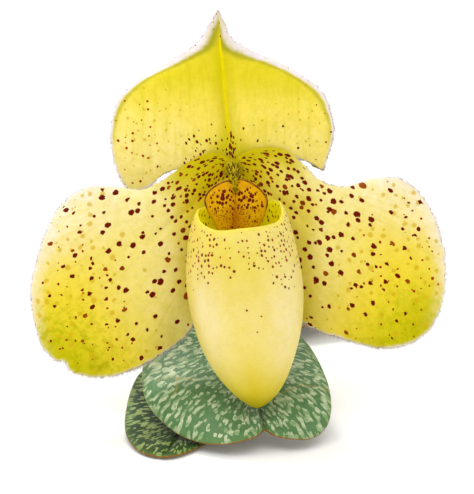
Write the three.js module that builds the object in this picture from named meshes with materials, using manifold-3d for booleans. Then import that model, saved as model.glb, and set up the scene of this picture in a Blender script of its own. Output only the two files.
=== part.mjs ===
// A paphiopedilum orchid in flower: one growth cut at its base, standing on its crown and leaves.
// Sizes are in millimetres, +Z is up and the flower looks along -Y. The origin is the centre of the
// cut face under the crown, on the surface that the plant rests on.
//
// The flower's own frame has its origin where the sepals, petals, lip and column meet: x runs to
// the viewer's right, y up the flower and z out of it, towards the viewer.
import * as THREE from "three";
import { ParametricGeometry } from "three/addons/geometries/ParametricGeometry.js";
import { mergeVertices } from "three/addons/utils/BufferGeometryUtils.js";
import Module from "manifold-3d";

const wasm = await Module();
wasm.setup();
const { sin, cos, abs, sqrt, exp, PI } = Math;
const { degToRad, smoothstep } = THREE.MathUtils;

// Driving dimensions
const flower = { ahead: 28, height: 45, tilt: 15 }; // of the crown, above the surface, degrees upwards
const sepalThickness = 0.9;
const petalThickness = 0.9;
const lipThickness = 0.9;
const staminodeThickness = 0.9;
const leafThickness = 1.1;
const bractThickness = 0.8;
const crown = { foot: 5.2, waist: 6, shoulder: 4.6, top: 3, height: 9.3 };
const stemRadius = 2;

const green = { leaf: 0x5f8a58, stem: 0x8a9a4a, crown: 0x7d8a55, bract: 0x93a35a };
const yellow = { petal: 0xf0dc6e, sepal: 0xeedf5c, lip: 0xf4e07c, column: 0xb8a82c, staminode: 0xd9a018 };

const material = (color, roughness = 0.55) =>
  new THREE.MeshStandardMaterial({ color, roughness, metalness: 0 });

// A smooth line through points, read by its arc length from 0 to 1.
function lineThrough(points) {
  const vectors = points.map(([x, y, z = 0]) => new THREE.Vector3(x, y, z));
  return new THREE.CatmullRomCurve3(vectors, false, "catmullrom", 0.5);
}

// A smooth value through evenly spaced knots, read from 0 to 1.
function valueThrough(knots) {
  const curve = new THREE.SplineCurve(knots.map((knot, i) => new THREE.Vector2(i, knot)));
  return (share) => curve.getPoint(THREE.MathUtils.clamp(share, 0, 1)).y;
}

// The grid's positions alone, with seams and poles closed and no empty faces.
function welded(grid) {
  grid.deleteAttribute("normal");
  grid.deleteAttribute("uv");
  const closed = mergeVertices(grid, 1e-3);
  const corners = closed.index.array;
  const kept = [];
  for (let i = 0; i < corners.length; i += 3) {
    const [a, b, c] = corners.subarray(i, i + 3);
    if (a !== b && b !== c && c !== a) kept.push(a, b, c);
  }
  return closed.setIndex(kept);
}

// Gives a surface its thickness: both faces share one triangulation, and a rim joins their edges.
function thicken(surface, thickness, lowest = -Infinity) {
  surface.computeVertexNormals();
  const { position, normal } = surface.attributes;
  const count = position.count;
  const corners = Array.from(surface.index.array);
  const points = [];
  for (const side of [0.5, -0.5])
    for (let i = 0; i < count; i++) {
      const point = new THREE.Vector3().fromBufferAttribute(position, i);
      const out = new THREE.Vector3().fromBufferAttribute(normal, i);
      point.addScaledVector(out, side * thickness);
      points.push(point.x, point.y, Math.max(point.z, lowest));
    }
  const faces = [...corners];
  const edges = new Map();
  for (let i = 0; i < corners.length; i += 3) {
    const [a, b, c] = corners.slice(i, i + 3);
    faces.push(c + count, b + count, a + count);
    for (const [from, to] of [[a, b], [b, c], [c, a]]) edges.set(`${from},${to}`, [from, to]);
  }
  for (const [from, to] of edges.values())
    if (!edges.has(`${to},${from}`))
      faces.push(from, from + count, to, to, from + count, to + count);
  return new THREE.BufferGeometry()
    .setAttribute("position", new THREE.Float32BufferAttribute(points, 3))
    .setIndex(faces);
}

// A flat outline as ribs from a midrib to both margins. The midrib stops short of the tip, so the
// ribs fan round a blunt end. footAt gives each rib's place on the midrib: an uneven one suits a
// blade with wide lobes at its base or a long tip. shape() takes each flat point to its place in space.
function blade({ left, right, midrib, shape, ribs, cells, footAt = (along) => along }) {
  const margins = { left: lineThrough(left), right: lineThrough(right) };
  const middle = lineThrough(midrib);
  const grid = new ParametricGeometry(
    (u, v, target) => {
      const across = 2 * u - 1;
      const margin = across < 0 ? margins.left : margins.right;
      target.copy(middle.getPointAt(footAt(v))).lerp(margin.getPointAt(v), abs(across));
      shape(target, across, v);
    },
    cells,
    ribs,
  );
  return welded(grid);
}

// A closed body swept along a line, with a radius for each share of its length.
function swept(points, radiusAt, steps, sides) {
  const path = lineThrough(points);
  const frames = path.computeFrenetFrames(steps, false);
  const rings = steps + 2; // the first and last rings close the ends on the path
  const grid = new ParametricGeometry(
    (u, v, target) => {
      const ring = v * rings - 1;
      const step = THREE.MathUtils.clamp(Math.round(ring), 0, steps);
      const radius = ring < -0.5 || ring > steps + 0.5 ? 0 : radiusAt(step / steps);
      const angle = 2 * PI * u;
      target
        .copy(path.getPointAt(step / steps))
        .addScaledVector(frames.normals[step], radius * cos(angle))
        .addScaledVector(frames.binormals[step], radius * sin(angle));
    },
    sides,
    rings,
  );
  return welded(grid);
}

const solidOf = (geometry) =>
  new wasm.Manifold(
    new wasm.Mesh({
      numProp: 3,
      vertProperties: new Float32Array(geometry.attributes.position.array),
      triVerts: new Uint32Array(geometry.index.array),
    }),
  );

// Joins overlapping closed bodies into one.
function fused(...geometries) {
  const mesh = geometries.map(solidOf).reduce((whole, part) => whole.add(part)).getMesh();
  return new THREE.BufferGeometry()
    .setAttribute("position", new THREE.Float32BufferAttribute(mesh.vertProperties, 3))
    .setIndex(Array.from(mesh.triVerts));
}

const plant = new THREE.Group();
const bloom = new THREE.Group();
bloom.position.set(0, -flower.ahead, flower.height);
bloom.rotation.x = PI / 2 - degToRad(flower.tilt);
plant.add(bloom);

function place(group, name, geometry, color, roughness) {
  const mesh = new THREE.Mesh(geometry, material(color, roughness));
  mesh.name = name;
  group.add(mesh);
  return mesh;
}

// Crown: the short stub that the leaves clasp, cut flat below
const crownProfile = [
  [0, 0],
  [crown.foot, 0],
  [crown.waist, 2.6],
  [crown.shoulder, 6.4],
  [crown.top, crown.height],
  [0, crown.height],
].map(([r, z]) => new THREE.Vector2(r, z));
const crownBody = welded(new THREE.LatheGeometry(crownProfile, 18)).rotateX(PI / 2);
place(plant, "crown", crownBody, green.crown, 0.7);

// Leaves
// The flat leaf is laid along a spine. Across it, each half leaves the midrib at the fold angle and
// then turns by `turn` degrees a millimetre, so a positive turn wraps it and a negative one lets it droop.
// roll tips the whole section to one side.
function leafShape({ spine, fold, turn, roll = [0, 0] }) {
  const path = lineThrough(spine);
  const length = path.getLength();
  const foldAt = valueThrough(fold);
  const turnAt = valueThrough(turn);
  const rollAt = valueThrough(roll);
  return (point) => {
    const distance = point.x;
    const share = THREE.MathUtils.clamp(point.y / length, 0, 1);
    const tangent = path.getTangentAt(share);
    const across = new THREE.Vector3(1, 0, 0).addScaledVector(tangent, -tangent.x).normalize();
    const up = new THREE.Vector3().crossVectors(across, tangent);
    const side = distance < 0 ? -1 : 1;
    const start = degToRad(foldAt(share) + side * rollAt(share));
    const bend = degToRad(turnAt(share)) || 1e-6;
    const end = start + bend * abs(distance);
    point
      .copy(path.getPointAt(share))
      .addScaledVector(across, (side * (sin(end) - sin(start))) / bend)
      .addScaledVector(up, (cos(start) - cos(end)) / bend);
  };
}

// The flat outline of a leaf: narrow at the sheath, widest past the middle, blunt and notched.
// Each half lists its distance from the midrib at even shares of the length.
function leafOutline({ length, notch, right, left }) {
  const margin = (half, side) =>
    half.map((distance, i) => [side * distance, (length * i) / (half.length - 1)]);
  const end = [0, length - notch];
  return {
    right: [...margin(right, 1), end],
    left: [...margin(left, -1), end],
    midrib: [[0, 0], [0, 0.84 * length - notch]],
  };
}

const leaves = {
  leaf_front: {
    heading: 186,
    outline: {
      right: [
        [5, 0], [5.4, 5], [9, 11], [16, 18], [19.6, 24], [20.6, 31.4], [20, 38], [16.8, 45],
        [12, 51], [7, 54], [2.4, 53.4], [0, 50.4],
      ],
      left: [
        [-5, 0], [-5.2, 5], [-6.8, 11], [-9.2, 18.3], [-11.6, 28], [-12.8, 36], [-13, 42],
        [-12.2, 46.4], [-10, 49.8], [-6.6, 52.2], [-2.4, 52.6], [0, 50.4],
      ],
      midrib: [[0, 0], [0, 44]],
    },
    spine: [
      [0, 7, 1.8], [0, 7.8, 5], [0, 13, 8.4], [0, 24, 9.2], [0, 34, 8], [0, 42, 6.4],
      [0, 50, 4.4], [0, 57.6, 2.6],
    ],
    fold: [0, 30, 30, 24, 18, 6],
    turn: [8, 0.4, -2.2, -2.4, -2.9, -4],
    roll: [0, 0, -4, -3, -0.5, 6],
  },
  leaf_front_low: {
    heading: 168.5,
    outline: {
      right: [
        [4.2, 0], [5, 4], [9.6, 12], [12.4, 19], [12.9, 24], [12, 32], [9.8, 42], [6.4, 49.6],
        [3, 52.8], [0, 53.6],
      ],
      left: [
        [-4.2, 0], [-5, 4], [-8.6, 12], [-10.6, 22], [-9.6, 31], [-7, 41], [-4.4, 47.8],
        [-2.2, 52], [0, 53.6],
      ],
      midrib: [[0, 0], [0, 45]],
    },
    spine: [[0, 5.9, 0.6], [0, 10, 0.8], [0, 16, 1], [0, 26, 0.8], [0, 36, 0.6], [0, 60, 0.56]],
    fold: [0, 12, 18, 12, 6, 2, 1],
    turn: [0, 0],
    roll: [0, 2, 4, 2, 1, 0, 0],
  },
  leaf_back: {
    heading: 8,
    outline: leafOutline({
      length: 80,
      notch: 2,
      right: [5, 6, 13, 16.6, 18, 17.6, 15.4, 10.6, 1.4],
      left: [5, 6, 13, 16.8, 18, 17.4, 15, 10.4, 1.4],
    }),
    spine: [
      [0, 7, 1.8], [0, 7.8, 5], [0, 14, 9.6], [0, 28, 12], [0, 44, 10.6], [0, 60, 6], [0, 78, 0.7],
    ],
    fold: [0, 32, 26, 22, 14, 2],
    turn: [8, 0.4, -0.8, -1.4, -1.6, -0.4],
  },
  leaf_back_right: {
    heading: -28,
    outline: leafOutline({
      length: 58,
      notch: 1.5,
      right: [3.6, 4, 7.4, 11.6, 13.6, 13.4, 11.6, 8, 1.2],
      left: [3.6, 4, 7.4, 11.6, 13.8, 13.6, 11.8, 8, 1.2],
    }),
    spine: [[0, 5.9, 0.6], [0, 12, 1.4], [0, 24, 3], [0, 38, 3.2], [0, 52, 1.6], [0, 66, 0.5]],
    fold: [0, 12, 18, 14, 6, 0],
    turn: [0, -0.4, -0.8, -1, -0.8, 0],
  },
  leaf_back_left: {
    heading: 46,
    outline: leafOutline({
      length: 44,
      notch: 1.2,
      right: [3.6, 4.2, 7.4, 10.6, 12, 11.6, 9.8, 6.8, 1.2],
      left: [3.6, 4.2, 7.4, 10.6, 12.2, 12, 10.2, 7, 1.2],
    }),
    spine: [[0, 5.9, 0.6], [0, 12, 1.3], [0, 22, 2.6], [0, 34, 2.4], [0, 44, 1], [0, 54, 0.5]],
    fold: [0, 12, 18, 14, 6, 0],
    turn: [0, -0.4, -0.8, -1, -0.8, 0],
  },
};

for (const [name, leaf] of Object.entries(leaves)) {
  const surface = blade({ ...leaf.outline, shape: leafShape(leaf), ribs: 18, cells: 8 });
  const mesh = place(plant, name, thicken(surface, leafThickness, 0), green.leaf);
  mesh.rotation.z = degToRad(leaf.heading);
}

// Stem: a short scape, the bract that sheaths it, and the ovary that arches to the flower
const scapeTop = 17;
const scape = swept([[0, 0, crown.height + 0.3], [0, 0.3, scapeTop]], () => stemRadius, 3, 12);
place(plant, "scape", scape, green.stem, 0.8);

const ovaryLine = [
  [0, 0.4, scapeTop + 0.3],
  [0, 0.3, 25],
  [0, -3.2, 33.5],
  [0, -10, 39.2],
  [0, -19, 42.6],
  [0, -24.1, 43.95],
];
const ovaryRadius = valueThrough([1.9, 1.9, 2.3, 2.7, 2.7, 2.3, 2.6]);
place(plant, "ovary", swept(ovaryLine, ovaryRadius, 14, 12), green.stem, 0.8);

const bractOutline = {
  right: [[2, 0], [4.2, 3], [5, 7], [4, 12], [1.6, 16.5], [0, 18.5]],
  left: [[-2, 0], [-4.2, 3], [-5, 7], [-4, 12], [-1.6, 16.5], [0, 18.5]],
  midrib: [[0, 0], [0, 17]],
};
const bractShape = leafShape({
  spine: [[0, 3.2, 12], [0, 3.6, 18], [0, 3.9, 25], [0, 3.9, 31]],
  fold: [0, 0],
  turn: [17, 16, 14, 10],
});
const bract = blade({ ...bractOutline, shape: bractShape, ribs: 8, cells: 8 });
place(plant, "bract", thicken(bract, bractThickness), green.bract, 0.7);

// Sepals
const dorsal = {
  left: [
    [-2.2, 0.4], [-7, 0.2], [-12.2, -0.8], [-15.6, -3.5], [-18.6, -4], [-20.8, -0.6], [-22, 5.5],
    [-21.2, 11], [-18.4, 15], [-12.2, 18.8], [-6.6, 22.2], [-4.2, 25.6], [-2.7, 28.2],
  ],
  right: [
    [2.2, 0.4], [7, 1.6], [12.4, 1.6], [15.4, 0], [17, 1.6], [18, 5.5],
    [17.8, 9], [15.9, 13.8], [10.8, 17.6], [3.8, 20.8], [0, 23], [-1.4, 25.6], [-2.7, 28.2],
  ],
  midrib: [[0, 0.4], [-0.6, 9], [-1.7, 18], [-2.4, 25.6]],
  footAt: valueThrough([0, 0.4, 0.58, 0.67, 0.74, 1]),
};
const curlAt = valueThrough([0, 0, 0, 0.1, 0.7, 1, 0.4, 0]);
function dorsalShape(point, across, along) {
  const { x, y } = point;
  const curl = 2.6 * curlAt(along) * Math.max(0, 2 * abs(across) - 1) ** 1.5;
  const keel = 0.7 * exp(-((x + 0.09 * y) ** 2) / 3) * smoothstep(y, 1, 6) * smoothstep(-y, -25, -16);
  point.z = -3.2 + 0.12 * y - 0.0062 * x * x * smoothstep(abs(x), 0, 8) - keel - curl;
}
const dorsalSepal = blade({ ...dorsal, shape: dorsalShape, ribs: 24, cells: 14 });
place(bloom, "dorsal_sepal", thicken(dorsalSepal, sepalThickness), yellow.sepal);

const ventral = {
  left: [[2.2, -0.5], [6, -3], [8.8, -8], [9.6, -14], [8, -20], [4.6, -24.6], [0.6, -26.6]],
  right: [[-2.2, -0.5], [-6, -3], [-8.8, -8], [-9.4, -14], [-7.4, -20], [-3.6, -24.6], [0.6, -26.6]],
  midrib: [[0, -0.5], [0.4, -21]],
};
function ventralShape(point) {
  const { x, y } = point;
  point.z = -2.5 - 3.4 * smoothstep(-y, 0, 14) + 0.035 * x * x * smoothstep(-y, 3, 12);
}
const synsepal = blade({ ...ventral, shape: ventralShape, ribs: 12, cells: 10 });
place(bloom, "synsepal", thicken(synsepal, sepalThickness), yellow.sepal);

// Petals: convex shields whose margins roll back a little and wave
const petals = {
  petal_left: {
    axis: [-0.76, -0.65],
    left: [
      [-0.3, -2.6], [-2.2, -9], [-4, -18], [-6.8, -27.4], [-11, -32], [-18, -36], [-24.4, -37.4],
      [-28.6, -36.4], [-31.4, -34.6], [-34, -31.8], [-35.4, -27.4],
    ],
    right: [
      [-0.3, 1.6], [-3.6, 2.8], [-7.6, 1.3], [-12.8, -2.4], [-17, -4], [-22, -3.5], [-27.2, -4],
      [-31.6, -8], [-34.6, -15.4], [-35.9, -22], [-35.4, -27.4],
    ],
    midrib: [[-0.3, -0.5], [-9, -8.2], [-17, -15.2], [-25.4, -21.4]],
    wave: 0,
  },
  petal_right: {
    axis: [0.79, -0.61],
    left: [
      [0.3, 1.6], [3.4, 3.4], [8.6, 3.6], [12.2, 1], [15.8, -2.4], [20.4, -3.4], [26, -1.9],
      [30.6, -2.4], [34.8, -6.6], [37.4, -14], [37.8, -20.4], [37, -25],
    ],
    right: [
      [0.3, -2.6], [2.6, -9], [5, -17], [9, -25], [13, -28], [19.4, -30.4], [26, -32],
      [31.2, -31.4], [34.8, -29], [37, -25],
    ],
    midrib: [[0.3, -0.5], [10, -7.4], [19, -14], [27, -18]],
    wave: 2,
  },
};
const petalRise = valueThrough([-1.3, -0.2, 1.6, 3.4, 4.5, 4.2, 2.6]);
const petalReach = 48;
function petalShape({ axis: [ax, ay], wave }) {
  return (point, across, along) => {
    const { x, y } = point;
    const out = x * ax + y * ay;
    const side = x * ay - y * ax;
    const free = smoothstep(along, 0.02, 0.2);
    const margin = abs(across) ** 4 * free;
    const ruffle = 0.45 * sin(9 * PI * Math.sign(across) * (1 - along) + wave);
    point.z = petalRise(out / petalReach) - 0.012 * side * side + margin * (ruffle - 0.7);
  };
}
for (const [name, petal] of Object.entries(petals)) {
  const surface = blade({ ...petal, shape: petalShape(petal), ribs: 20, cells: 14 });
  place(bloom, name, thicken(surface, petalThickness), yellow.petal);
}

// Lip: a deep pouch, an ellipse at every height, hung from a low front rim and a high back
const lip = { tip: -41.9, belly: -20.5, top: -2.9, halfWidth: 9.8, halfDepth: 8.5 };
const lipCentreX = valueThrough([4.2, 3.1, 2.5, 1.9, 1.4, 1.2]);
const lipCentreZ = valueThrough([13, 12.8, 12.4, 11.6, 10.9, 9.6, 8.3]);
const lipRim = valueThrough([
  -2.9, -4.6, -6.4, -7.7, -10, -11.4, -11.1, -10.6, -9.6, -7.3, -6.2, -4.4, -2.9,
]);
function lipPoint(u, v, target) {
  const angle = 2 * PI * (u - 0.5);
  const rim = lipRim(u);
  const y = lip.tip + (rim - lip.tip) * (1 - cos((v * PI) / 2));
  const height = (y - lip.tip) / (lip.top - lip.tip);
  const below = Math.max(0, (lip.belly - y) / (lip.belly - lip.tip));
  const above = Math.max(0, (y - lip.belly) / (lip.top - lip.belly));
  const incurve = 1 - 0.1 * exp((y - rim) / 1.2);
  const round = (1 - below * below) ** 0.7 * incurve;
  const halfWidth = (lip.halfWidth - 3.4 * above ** 1.6) * round;
  const halfDepth = (lip.halfDepth - 2.9 * above ** 1.4) * round;
  target.set(
    lipCentreX(height) + halfWidth * sin(angle),
    y,
    lipCentreZ(height) + halfDepth * cos(angle),
  );
}
const lipSurface = welded(new ParametricGeometry(lipPoint, 28, 18));
place(bloom, "lip", thicken(lipSurface, lipThickness), yellow.lip);

// Column: a short stalk with a stigma below and an anther on each side
const stalk = swept([[0, 0, 0.1], [0, -0.1, 3], [0.1, -0.7, 6.4]], valueThrough([2.2, 2.3, 2.1, 1.5]), 4, 12);
const ball = (width, height, depth) => welded(new THREE.SphereGeometry(1, 12, 8)).scale(width, height, depth);
const stigma = ball(2, 1.2, 1.4).translate(0.1, -2.9, 5.3);
const anthers = [-1, 1].map((side) => ball(1.1, 1, 1.2).translate(side * 2.3, -2.4, 4.9));
place(bloom, "column", fused(stalk, stigma, ...anthers), yellow.column);

// Staminode: the shield before the column, two domed lobes either side of a groove, with a boss
// that comes down over the groove
const shield = {
  left: [
    [0.2, -2.8], [-1.2, -2.3], [-3.6, -3.5], [-5, -5.5], [-4.7, -7.4], [-3.4, -9.8], [-2.4, -11.6],
    [-0.8, -12.9], [0.6, -13.2],
  ],
  right: [
    [0.2, -2.8], [1.8, -2.1], [4.4, -3.4], [6.1, -5.7], [5.8, -8], [5, -9.8], [3.8, -11.6],
    [2.2, -12.9], [0.6, -13.2],
  ],
  midrib: [[0.2, -2.8], [0.5, -10.6]],
};
function shieldShape(point) {
  const { x, y } = point;
  const sideways = abs(x - 0.5);
  const dome = 1.5 * sqrt(Math.max(0, 1 - ((sideways - 2.7) / 3.6) ** 2));
  point.z = 7.2 + dome + 0.5 * cos((y + 7) / 3);
}
const shieldBody = thicken(blade({ ...shield, shape: shieldShape, ribs: 10, cells: 12 }), staminodeThickness);
const bossLine = [[0.1, -0.6, 7.6], [0.2, -2.6, 9.2], [0.45, -5, 9.2], [0.6, -7, 8.7]];
const boss = swept(bossLine, valueThrough([1, 1.6, 1.3, 0.9, 0.4]), 6, 10);
place(bloom, "staminode", fused(shieldBody, boss), yellow.staminode);

export default plant;
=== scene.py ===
import bpy
import numpy as np
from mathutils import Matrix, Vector


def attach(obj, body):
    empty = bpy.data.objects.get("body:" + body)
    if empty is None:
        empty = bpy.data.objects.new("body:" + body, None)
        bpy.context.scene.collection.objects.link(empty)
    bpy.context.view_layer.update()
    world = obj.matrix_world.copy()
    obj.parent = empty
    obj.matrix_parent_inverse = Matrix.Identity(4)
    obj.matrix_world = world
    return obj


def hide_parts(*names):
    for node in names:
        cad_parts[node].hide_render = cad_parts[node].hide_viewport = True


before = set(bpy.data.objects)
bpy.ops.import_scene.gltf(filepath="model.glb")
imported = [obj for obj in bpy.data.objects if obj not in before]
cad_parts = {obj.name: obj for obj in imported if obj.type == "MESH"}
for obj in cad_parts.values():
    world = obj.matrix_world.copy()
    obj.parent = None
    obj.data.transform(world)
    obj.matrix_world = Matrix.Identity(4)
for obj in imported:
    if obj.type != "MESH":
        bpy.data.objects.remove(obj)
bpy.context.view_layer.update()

# A slipper orchid in flower. Shapes are worked out in millimetres. The flower's own frame has its
# origin where its parts meet: x to the right of someone who faces it, y up it, z out of it.
metre = 0.001
flower = {"ahead": 28.0, "height": 45.0, "tilt": 15.0}
waves = {"count": 9, "turn": 6.283, "stretch": (0.7, 1.5)}  # the sines that unevenness adds up
lineSteps = {"fine": 60, "whole": 400, "ends": 3e-4, "close": 2e-4}  # to measure lines and directions


def unit(vectors):
    return vectors / np.maximum(np.linalg.norm(vectors, axis=-1, keepdims=True), 1e-12)


def joined(*parts):  # values over one surface, or single numbers, side by side as one field of vectors
    return np.stack(np.broadcast_arrays(*parts), -1)


# The cubic through four neighbouring points whose tangents are half the chord between neighbours.
def cubic(before, start, end, after, share):
    startPull = (end - before) / 2
    endPull = (after - start) / 2
    return (
        start
        + startPull * share
        + (3 * (end - start) - 2 * startPull - endPull) * share**2
        + (2 * (start - end) + startPull + endPull) * share**3
    )


# A smooth line through points, read at shares of its length from 0 to 1.
def smoothLine(points, shares):
    points = np.array(points, float)
    padded = np.vstack([2 * points[0] - points[1], points, 2 * points[-1] - points[-2]])
    spans = len(points) - 1

    def at(place):
        span = np.clip(place.astype(int), 0, spans - 1)
        return cubic(*[padded[span + step] for step in range(4)], (place - span)[..., None])

    fine = np.linspace(0, spans, lineSteps["fine"] * spans + 1)
    steps = np.linalg.norm(np.diff(at(fine), axis=0), axis=1)
    length = np.concatenate([[0], np.cumsum(steps)])
    return at(np.interp(np.clip(shares, 0, 1) * length[-1], length, fine))


def lineLength(points):
    trail = smoothLine(points, np.linspace(0, 1, lineSteps["whole"]))
    return np.linalg.norm(np.diff(trail, axis=0), axis=1).sum()


# The unit direction of a smooth line: the step between two close shares, a little inside its ends.
def lineDirection(points, shares):
    shares = np.clip(shares, lineSteps["ends"], 1 - lineSteps["ends"])
    close = lineSteps["close"]
    return unit(smoothLine(points, shares + close) - smoothLine(points, shares - close))


# A smooth value through evenly spaced knots, read from 0 to 1.
def smoothValue(knots, shares):
    padded = np.array([knots[0], *knots, knots[-1]], float)
    place = np.clip(shares, 0, 1) * (len(knots) - 1)
    span = np.minimum(place.astype(int), len(knots) - 2)
    return cubic(*[padded[span + step] for step in range(4)], place - span)


# 0 below low, 1 above high, and 3s^2 - 2s^3 of the share s between them.
def ramp(value, low, high):
    share = np.clip((value - low) / (high - low), 0, 1)
    return share * share * (3 - 2 * share)


def fall(value, low, high):  # 1 below low and 0 above high
    return 1 - ramp(value, low, high)


def bump(value, centre, width):  # the bell exp(-((value - centre) / width)^2)
    return np.exp(-(((value - centre) / width) ** 2))


# Gentle unevenness between about -1 and 1: the sum of sines with seeded directions and phases.
def unevenness(x, y, wavelength, seed):
    draw = np.random.default_rng(seed)
    turns = draw.uniform(0, waves["turn"], waves["count"])
    phases = draw.uniform(0, waves["turn"], waves["count"])
    total = 0
    for turn, phase, stretch in zip(turns, phases, draw.uniform(*waves["stretch"], waves["count"])):
        way = x * np.cos(turn) + y * np.sin(turn)
        total = total + np.sin(waves["turn"] * stretch * way / wavelength + phase)
    return total / (waves["count"] / 2)


def inFlower(points):  # from the flower's frame to the plant's: a turn about x and a move
    tilt = np.radians(flower["tilt"])
    x, y, z = np.moveaxis(np.asarray(points, float), -1, 0)
    ahead = -flower["ahead"] + y * np.sin(tilt) - z * np.cos(tilt)
    up = flower["height"] + y * np.cos(tilt) + z * np.sin(tilt)
    return joined(x, ahead, up)


def linear(*colour):  # a display colour of 0 to 255 as the linear colour that shaders use
    share = np.array(colour, float) / 255
    return np.where(share <= 0.04045, share / 12.92, ((share + 0.055) / 1.055) ** 2.4)


# A plant colour as it is seen in the light. As paint it is a little darker, and low blues are lower
# still, because light that passes from petal to petal turns yellower each time.
paintRules = {"litShare": 0.76, "blueGain": 1.25, "blueLoss": 34, "least": 0.0004}


def paint(red, green, blue):
    blue = max(0, paintRules["blueGain"] * blue - paintRules["blueLoss"])
    return np.maximum(linear(red, green, blue) * paintRules["litShare"], paintRules["least"])


# A tint over a surface: a base colour, and layers that each blend it by a mask towards a colour.
def layTint(base, *layers):
    size = np.broadcast_shapes(*(np.shape(mask) for mask, _ in layers))
    tint = paint(*base) + np.zeros((*size, 1))
    for mask, colour in layers:
        share = np.clip(mask, 0, 1)[..., None]
        tint = tint * (1 - share) + paint(*colour) * share
    return tint


# Faces between the rows of a grid of vertex numbers; where two corners are one, a triangle.
def gridFaces(ids):
    quads = np.stack([ids[:-1, :-1], ids[:-1, 1:], ids[1:, 1:], ids[1:, :-1]], -1).reshape(-1, 4)
    flatBelow = quads[:, 0] == quads[:, 1]
    flatAbove = quads[:, 2] == quads[:, 3]
    lower = quads[flatBelow & ~flatAbove][:, [0, 2, 3]]
    upper = quads[flatAbove & ~flatBelow][:, [0, 1, 2]]
    return quads[~flatBelow & ~flatAbove], np.vstack([lower, upper])


# Faces of a surface that closes on itself: its last column is its first, and each end row is a point.
def roundFaces(rows, columns):
    ids = np.arange(rows * columns).reshape(rows, columns)
    ids[:, -1] = ids[:, 0]
    ids[0], ids[-1] = ids[0, 0], ids[-1, 0]
    return gridFaces(ids)


# Makes an object of shells. A shell is its points, its faces and its fields, a value or three a point,
# and a field that only another shell has is 0 on it. Six times the volume is the sum of a . (b x c)
# over the triangles, and a shell below 0 is turned.
def makePiece(name, shells, materials, replaced=None):
    points, faces, marks, first = [], [], [], 0
    fields = {key: [] for shell in shells for key in shell["fields"]}
    for shell in shells:
        quads, triangles = shell["faces"]
        corners = np.concatenate([quads.ravel(), triangles.ravel()])
        used, fresh = np.unique(corners, return_inverse=True)
        places = shell["points"].reshape(-1, 3)
        for key, parts in fields.items():
            values = np.asarray(shell["fields"].get(key, np.zeros(len(places))), float)
            parts.append(values.reshape(len(places), -1)[used])
        places = places[used]
        quads = fresh[: quads.size].reshape(-1, 4)
        triangles = fresh[quads.size :].reshape(-1, 3)
        halves = np.vstack([quads[:, [0, 1, 2]], quads[:, [0, 2, 3]], triangles])
        a, b, c = (places[halves[:, corner]] for corner in range(3))
        if np.einsum("ij,ij->i", a, np.cross(b, c)).sum() < 0:
            quads, triangles = quads[:, ::-1], triangles[:, ::-1]
        points.append(places)
        faces += (quads + first).tolist() + (triangles + first).tolist()
        marks += [shell.get("material", 0)] * (len(quads) + len(triangles))
        first += len(places)
    mesh = bpy.data.meshes.new(name)
    mesh.from_pydata((np.vstack(points) * metre).tolist(), [], faces)
    mesh.shade_smooth()
    mesh.polygons.foreach_set("material_index", marks)
    for key, parts in fields.items():
        width = max(part.shape[1] for part in parts)
        values = np.vstack([part * np.ones(width) for part in parts]).ravel()
        kind, channel = ("FLOAT", "value") if width == 1 else ("FLOAT_VECTOR", "vector")
        mesh.attributes.new(key, kind, "POINT").data.foreach_set(channel, values)
    for material in materials:
        mesh.materials.append(material)
    piece = bpy.data.objects.new(name, mesh)
    bpy.context.collection.objects.link(piece)
    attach(piece, "root")
    if replaced:
        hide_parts(replaced)
    print("made", name, len(faces), "faces")


# The normals of a grid: the cross product of its two gradients.
def gridNormals(points):
    return unit(np.cross(np.gradient(points, axis=1), np.gradient(points, axis=0)))


bladeRules = {"crowding": 1.5, "crimpWave": 1.7, "crimpSeed": 3, "leastLean": 0.35, "thinning": 2.5}


# A flat outline as ribs from a midrib to both margins. across runs from -1 to 1 and along from 0 to 1;
# columns crowd towards the margins. inset is the distance from the margin along the rib, edge the same
# square to the margin, spread the distance from the midrib. A margin may be crimped, with notches.
def bladeGrid(blade):
    along = np.linspace(0, 1, blade["rows"])[:, None]
    slide = np.linspace(-1, 1, blade["columns"])[None, :]
    across = np.sign(slide) * (1 - (1 - abs(slide)) ** bladeRules["crowding"])
    shares = along[:, 0]
    feet = smoothLine(blade["midrib"], smoothValue(blade["feet"], shares) if "feet" in blade else shares)
    margins, leans = [], []
    for side in ("left", "right"):
        line = smoothLine(blade[side], shares)
        rib = unit(line - feet)
        way = lineDirection(blade[side], shares)
        leans.append(abs(rib[:, 0] * way[:, 1] - rib[:, 1] * way[:, 0])[:, None])
        free = ramp(shares, 0.2, 0.35) * fall(shares, 0.97, 1)
        crimp = unevenness(line[:, 0], line[:, 1], bladeRules["crimpWave"], bladeRules["crimpSeed"])
        push = blade.get("crimp", 0) * crimp * free
        for notchX, notchY, depth, width in blade.get("notches", ()):
            push = push - depth * bump(np.hypot(line[:, 0] - notchX, line[:, 1] - notchY), 0, width)
        margins.append((line + rib * push[:, None])[:, None, :])
    margin = np.where(across[..., None] < 0, *margins)
    reach = abs(across)[..., None]
    flat = feet[:, None] * (1 - reach) + margin * reach
    ribLength = np.linalg.norm(margin - feet[:, None], axis=-1)
    inset = (1 - abs(across)) * ribLength
    lean = np.maximum(np.where(across < 0, *leans), bladeRules["leastLean"])
    return {
        "x": flat[..., 0],
        "y": flat[..., 1],
        "across": across + 0 * along,
        "along": along + 0 * across,
        "inset": inset,
        "edge": inset * (lean + (1 - lean) * ramp(inset, 1, 5)),
        "spread": across * ribLength,
        "base": along * lineLength(blade["left"]),
    }


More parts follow.
